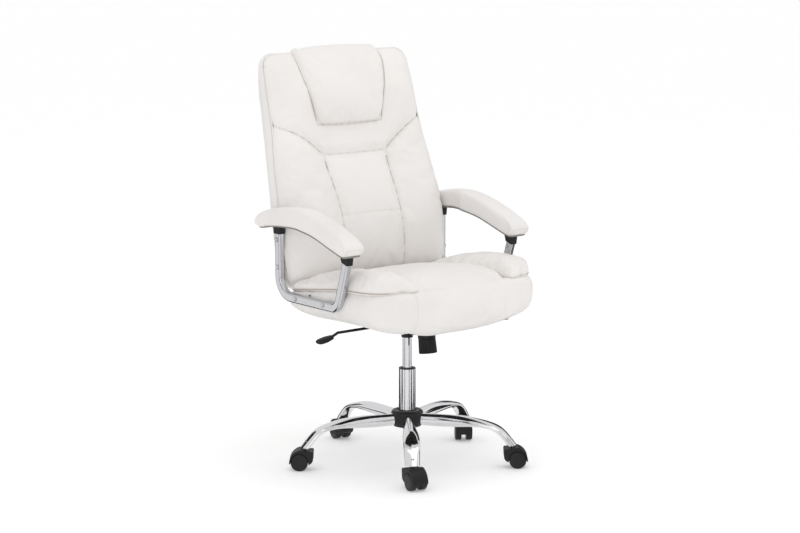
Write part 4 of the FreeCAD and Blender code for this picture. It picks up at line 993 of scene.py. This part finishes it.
# %% Bolsters
def bolster_shape(share):
    """Along a bolster: y, height, inner edge, outer edge and nose, which is a quarter circle from 0 to 1."""
    y = bolster_low.y + (bolster_high.y + 0.030 - bolster_low.y) * share
    nose = np.sqrt(1 - (1 - np.clip(share / 0.22, 0, 1)) ** 2)
    tail = 1 - 0.35 * np.clip((share - 0.35) / 0.65, 0, 1)
    height = 0.050 * nose * tail
    past = np.clip(SEAT_FRONT + 0.012 + CORNER_R - y, 0, CORNER_R)
    outer_x = SEAT_HALF - 0.0015 - CORNER_R + np.sqrt(CORNER_R ** 2 - past ** 2)
    outer_x = np.maximum(outer_x, CENTRE_HALF + 0.012)
    return y, height, np.full_like(y, CENTRE_HALF - 0.002), outer_x, nose


def make_bolster(name, hand):
    """A roll along one side: half-ovals standing on the groove line, sunk a little into the cushion."""
    rows, columns = 120, 64
    share = (crowded(rows, 2.0) + 1) / 2
    y, height, inner_x, outer_x, nose = bolster_shape(share)
    middle_x = (inner_x + outer_x) / 2
    half_w = (outer_x - inner_x) / 2
    angle = np.linspace(0, 2 * np.pi, columns, endpoint=False)
    c, s = np.cos(angle), np.sin(angle)
    oval_x = np.sign(c) * np.abs(c) ** 0.66
    oval_z = np.where(s > 0, np.abs(s) ** 0.74, -0.22 * np.abs(s) ** 0.7)
    x = middle_x[:, None] + half_w[:, None] * oval_x
    yy = y[:, None] + 0.018 * (np.clip(oval_x, 0, 1) * (1 - nose[:, None]))
    z = groove_z(y)[:, None] + 0.001 + height[:, None] * oval_z
    grid = np.stack([hand * x, yy, z], axis=-1)
    piece = skin(name, capped(grid), around=True)
    points = read(piece)
    base = points[:, 2] - groove_z(points[:, 1])
    held = np.clip(1 - base / 0.014, 0, 1)
    blow_out(piece, held, 4.0, 0.007, 0.016)
    soften(piece)
    points = read(piece)
    base = points[:, 2] - groove_z(points[:, 1])
    wave = ripple(points[:, 1] + 0.3 * np.abs(points[:, 0]), (14, 0.2, 0.6), (33, 1.7, 0.4))
    crown = np.clip(base / 0.03, 0, 1)
    write(piece, points + normals(piece) * (0.0010 * wave * crown)[:, None])
    points = read(piece)
    # Painted shade along the bolster's foot, where it meets the cushion.
    low_edge = np.exp(-((base - 0.001) / 0.004) ** 2) * (base < 0.012)
    paint_shade(piece, 0.30 * low_edge)
    upholster(piece, LEATHER, "seat", "seat_leather", *(["seat_bolsters"] if hand > 0 else []))
    return piece


def make_bolster_seams(side, hand):
    """The sewing round a bolster's foot: its outer edge at the height of the groove, from rear to nose."""
    y, _, _, outer_x, nose = bolster_shape(np.linspace(1.0, 0.02, 90))
    outer = np.stack([hand * (outer_x + 0.0006), y + 0.018 * (1 - nose), groove_z(y) + 0.0016], axis=1)
    thread("bolster_seam_" + side, outer, 0.0009)


for side, hand in (("left", 1), ("right", -1)):
    make_bolster("bolster_" + side, hand)
    make_bolster_seams(side, hand)

# %% [markdown]
# ## Arm pads
# Each pad is a padded board bent in a long arch. Its section is a rounded rectangle, flatter
# below; the pad narrows towards the rear so that it passes outside the backrest. A grey strip
# of the board shows along its underside. A box with rounded edges would miss the arch, so two
# lines give the pad's top and bottom, and a rounded section is carried between them.

# %% Arm pad
PAD_TOP_LINE = curve([
    (0.2835, 0.706), (0.281, 0.718), (0.268, 0.731), (0.234, 0.743), (0.180, 0.754), (0.110, 0.7605),
    (0.060, 0.758), (0.000, 0.746), (-0.060, 0.728), (-0.105, 0.711), (-0.134, 0.697),
    (-0.1455, 0.684), (-0.1475, 0.672),
], 110)
PAD_LOW_LINE = curve([
    (0.2835, 0.705), (0.280, 0.696), (0.262, 0.6905), (0.225, 0.697), (0.181, 0.702), (0.110, 0.705),
    (0.060, 0.700), (0.006, 0.690), (-0.062, 0.669), (-0.112, 0.654), (-0.135, 0.652),
    (-0.1455, 0.660), (-0.1475, 0.671),
], 110)


def make_arm_pad(side, hand):
    """Sections between the top and the bottom line, each a superellipse of the pad's width."""
    low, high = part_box("arm_pad_" + side)
    outer = max(abs(low.x), abs(high.x))
    inner = min(abs(low.x), abs(high.x))
    y_mid = (PAD_TOP_LINE[:, 0] + PAD_LOW_LINE[:, 0]) / 2
    inner_x = np.interp(y_mid, (0.085, 0.145), (inner, 0.2925))
    middle = (PAD_TOP_LINE + PAD_LOW_LINE) / 2
    arm = (PAD_TOP_LINE - PAD_LOW_LINE) / 2
    along = np.linspace(0, 1, len(middle))
    ends = np.minimum(along / 0.07, (1 - along) / 0.085)
    fat = np.sqrt(1 - (1 - np.clip(ends, 0, 1)) ** 2)
    half_w = (outer - inner_x) / 2 * (0.62 + 0.38 * fat) * np.clip(ends * 6, 0.04, 1) ** 0.5
    centre_x = (outer + inner_x) / 2
    angle = np.linspace(0, 2 * np.pi, 56, endpoint=False)
    c, s = np.cos(angle), np.sin(angle)
    across = np.sign(c) * np.abs(c) ** 0.55
    rise = np.where(s > 0, np.abs(s) ** 0.62, -np.abs(s) ** 0.42)
    x = centre_x[:, None] + half_w[:, None] * across
    yz = middle[:, None, :] + arm[:, None, :] * rise[None, :, None]
    grid = np.concatenate([hand * x[..., None], yz], axis=-1)
    piece = skin("arm_pad_cover_" + side, capped(grid), around=True)
    points = read(piece)
    under = points[:, 2] - np.interp(points[:, 1], PAD_LOW_LINE[::-1, 0], PAD_LOW_LINE[::-1, 1])
    blow_out(piece, np.clip(1 - under / 0.008, 0, 1), 3.0, 0.002, 0.006, 10)
    soften(piece)
    points = read(piece)
    under = points[:, 2] - np.interp(points[:, 1], PAD_LOW_LINE[::-1, 0], PAD_LOW_LINE[::-1, 1])
    # Painted shade along the pad's lower edge, above its board.
    edge = np.exp(-((under - 0.002) / 0.002) ** 2) * (points[:, 1] < 0.24)
    paint_shade(piece, 0.25 * edge)
    upholster(piece, ARM_LEATHER, "seat", "arm_leather", "arm_pad_" + side, fill=0.9)
    return piece


def make_arm_board(side, hand):
    """The moulded board under a pad: a shallow curved strip, drawn in from the pad's sides."""
    low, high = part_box("arm_pad_" + side)
    outer = max(abs(low.x), abs(high.x)) - 0.007
    inner = min(abs(low.x), abs(high.x)) + 0.007
    line = PAD_LOW_LINE[12:-12]
    inner_x = np.interp(line[:, 0], (0.085, 0.145), (inner, 0.2945))
    share = np.linspace(0, 1, len(line))
    half = (outer - inner_x) / 2 * np.sqrt(1 - (1 - np.clip(np.minimum(share, 1 - share) / 0.05, 0, 1)) ** 2)
    angle = np.linspace(0, 2 * np.pi, 24, endpoint=False)
    c, s = np.cos(angle), np.sin(angle)
    x = (outer + inner_x)[:, None] / 2 + half[:, None] * np.sign(c) * np.abs(c) ** 0.3
    z = line[:, 1:] + 0.0008 + 0.0036 * np.sign(s) * np.abs(s) ** 0.5
    grid = np.stack([hand * x, np.repeat(line[:, :1], 24, axis=1), z], axis=-1)
    piece = skin("arm_board_" + side, capped(grid), around=True)
    piece.data.materials.append(BOARD_PLASTIC)
    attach(piece, "seat")
    print(piece.name, len(piece.data.polygons), "faces")


for side, hand in (("left", 1), ("right", -1)):
    make_arm_pad(side, hand)
    make_arm_board(side, hand)

# %% [markdown]
# ## Hub cover and lever grip
# The cover is a moulded barrel that hides the weld between legs and column: one outline
# turned about the column. The grip is a paddle pushed on the lever's bent end: ovals of
# growing width carried along the bend.

# %% Hub cover
def turned_outline(name, outline, count=96):
    """A closed outline of radius and height, turned about the column's axis."""
    angle = np.linspace(0, 2 * np.pi, count, endpoint=False)
    r, z = np.asarray(outline, float).T
    height = np.repeat(z[:, None], count, axis=1)
    grid = np.stack([r[:, None] * np.cos(angle), r[:, None] * np.sin(angle), height], axis=-1)
    return skin(name, grid, around=True)


hub_low, hub_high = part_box("hub_cover")
hub_r = hub_high.x
barrel = turned_outline("hub_barrel", [
    (0.0262, hub_high.z - 0.004), (0.0262, hub_high.z), (hub_r - 0.010, hub_high.z),
    (hub_r - 0.0045, hub_high.z - 0.0015), (hub_r - 0.0015, hub_high.z - 0.005), (hub_r, hub_high.z - 0.010),
    (hub_r + 0.0008, hub_high.z - 0.024), (hub_r, hub_low.z + 0.012), (hub_r - 0.002, hub_low.z + 0.004),
    (hub_r - 0.006, hub_low.z), (0.0305, hub_low.z), (0.0305, hub_high.z - 0.004),
    (0.0262, hub_high.z - 0.004),
])
barrel.data.materials.append(COVER_PLASTIC)
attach(barrel, "base")
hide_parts("hub_cover")
print("hub barrel radius %.4f" % hub_r)


# %% Lever grip
def make_grip():
    """Ovals along the lever's end: narrow neck, broad flat paddle, blunt tip."""
    low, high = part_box("lever_grip")
    start = np.array([high.x, 0.0, high.z - 0.007])
    end = np.array([low.x, 0.0, low.z + 0.005])
    run = end - start
    along = run / np.linalg.norm(run)
    thick = np.cross(along, (0, 1, 0))
    share = np.array([0.0, 0.0, 0.05, 0.14, 0.24, 0.36, 0.5, 0.66, 0.82, 0.93, 0.985, 1.0, 1.0])
    width = np.array([0.2, 6.2, 7.4, 8.4, 10.2, 13.0, 14.6, 15.2, 15.0, 14.0, 11.5, 8.0, 0.2]) / 1000
    depth = np.array([0.2, 5.6, 6.6, 7.2, 7.6, 8.0, 8.2, 8.0, 7.4, 6.4, 4.8, 3.0, 0.2]) / 1000
    angle = np.linspace(0, 2 * np.pi, 40, endpoint=False)
    c = np.sign(np.cos(angle)) * np.abs(np.cos(angle)) ** 0.8
    s = np.sign(np.sin(angle)) * np.abs(np.sin(angle)) ** 0.8
    middle = start + run * share[:, None]
    grid = middle[:, None, :] + np.array([0, 1.0, 0]) * (width[:, None] * c)[..., None]
    grid = grid + thick * (depth[:, None] * s)[..., None]
    piece = skin("grip_paddle", grid, around=True)
    soften(piece)
    piece.data.materials.append(BLACK_PLASTIC)
    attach(piece, "lever")
    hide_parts("lever_grip")


make_grip()
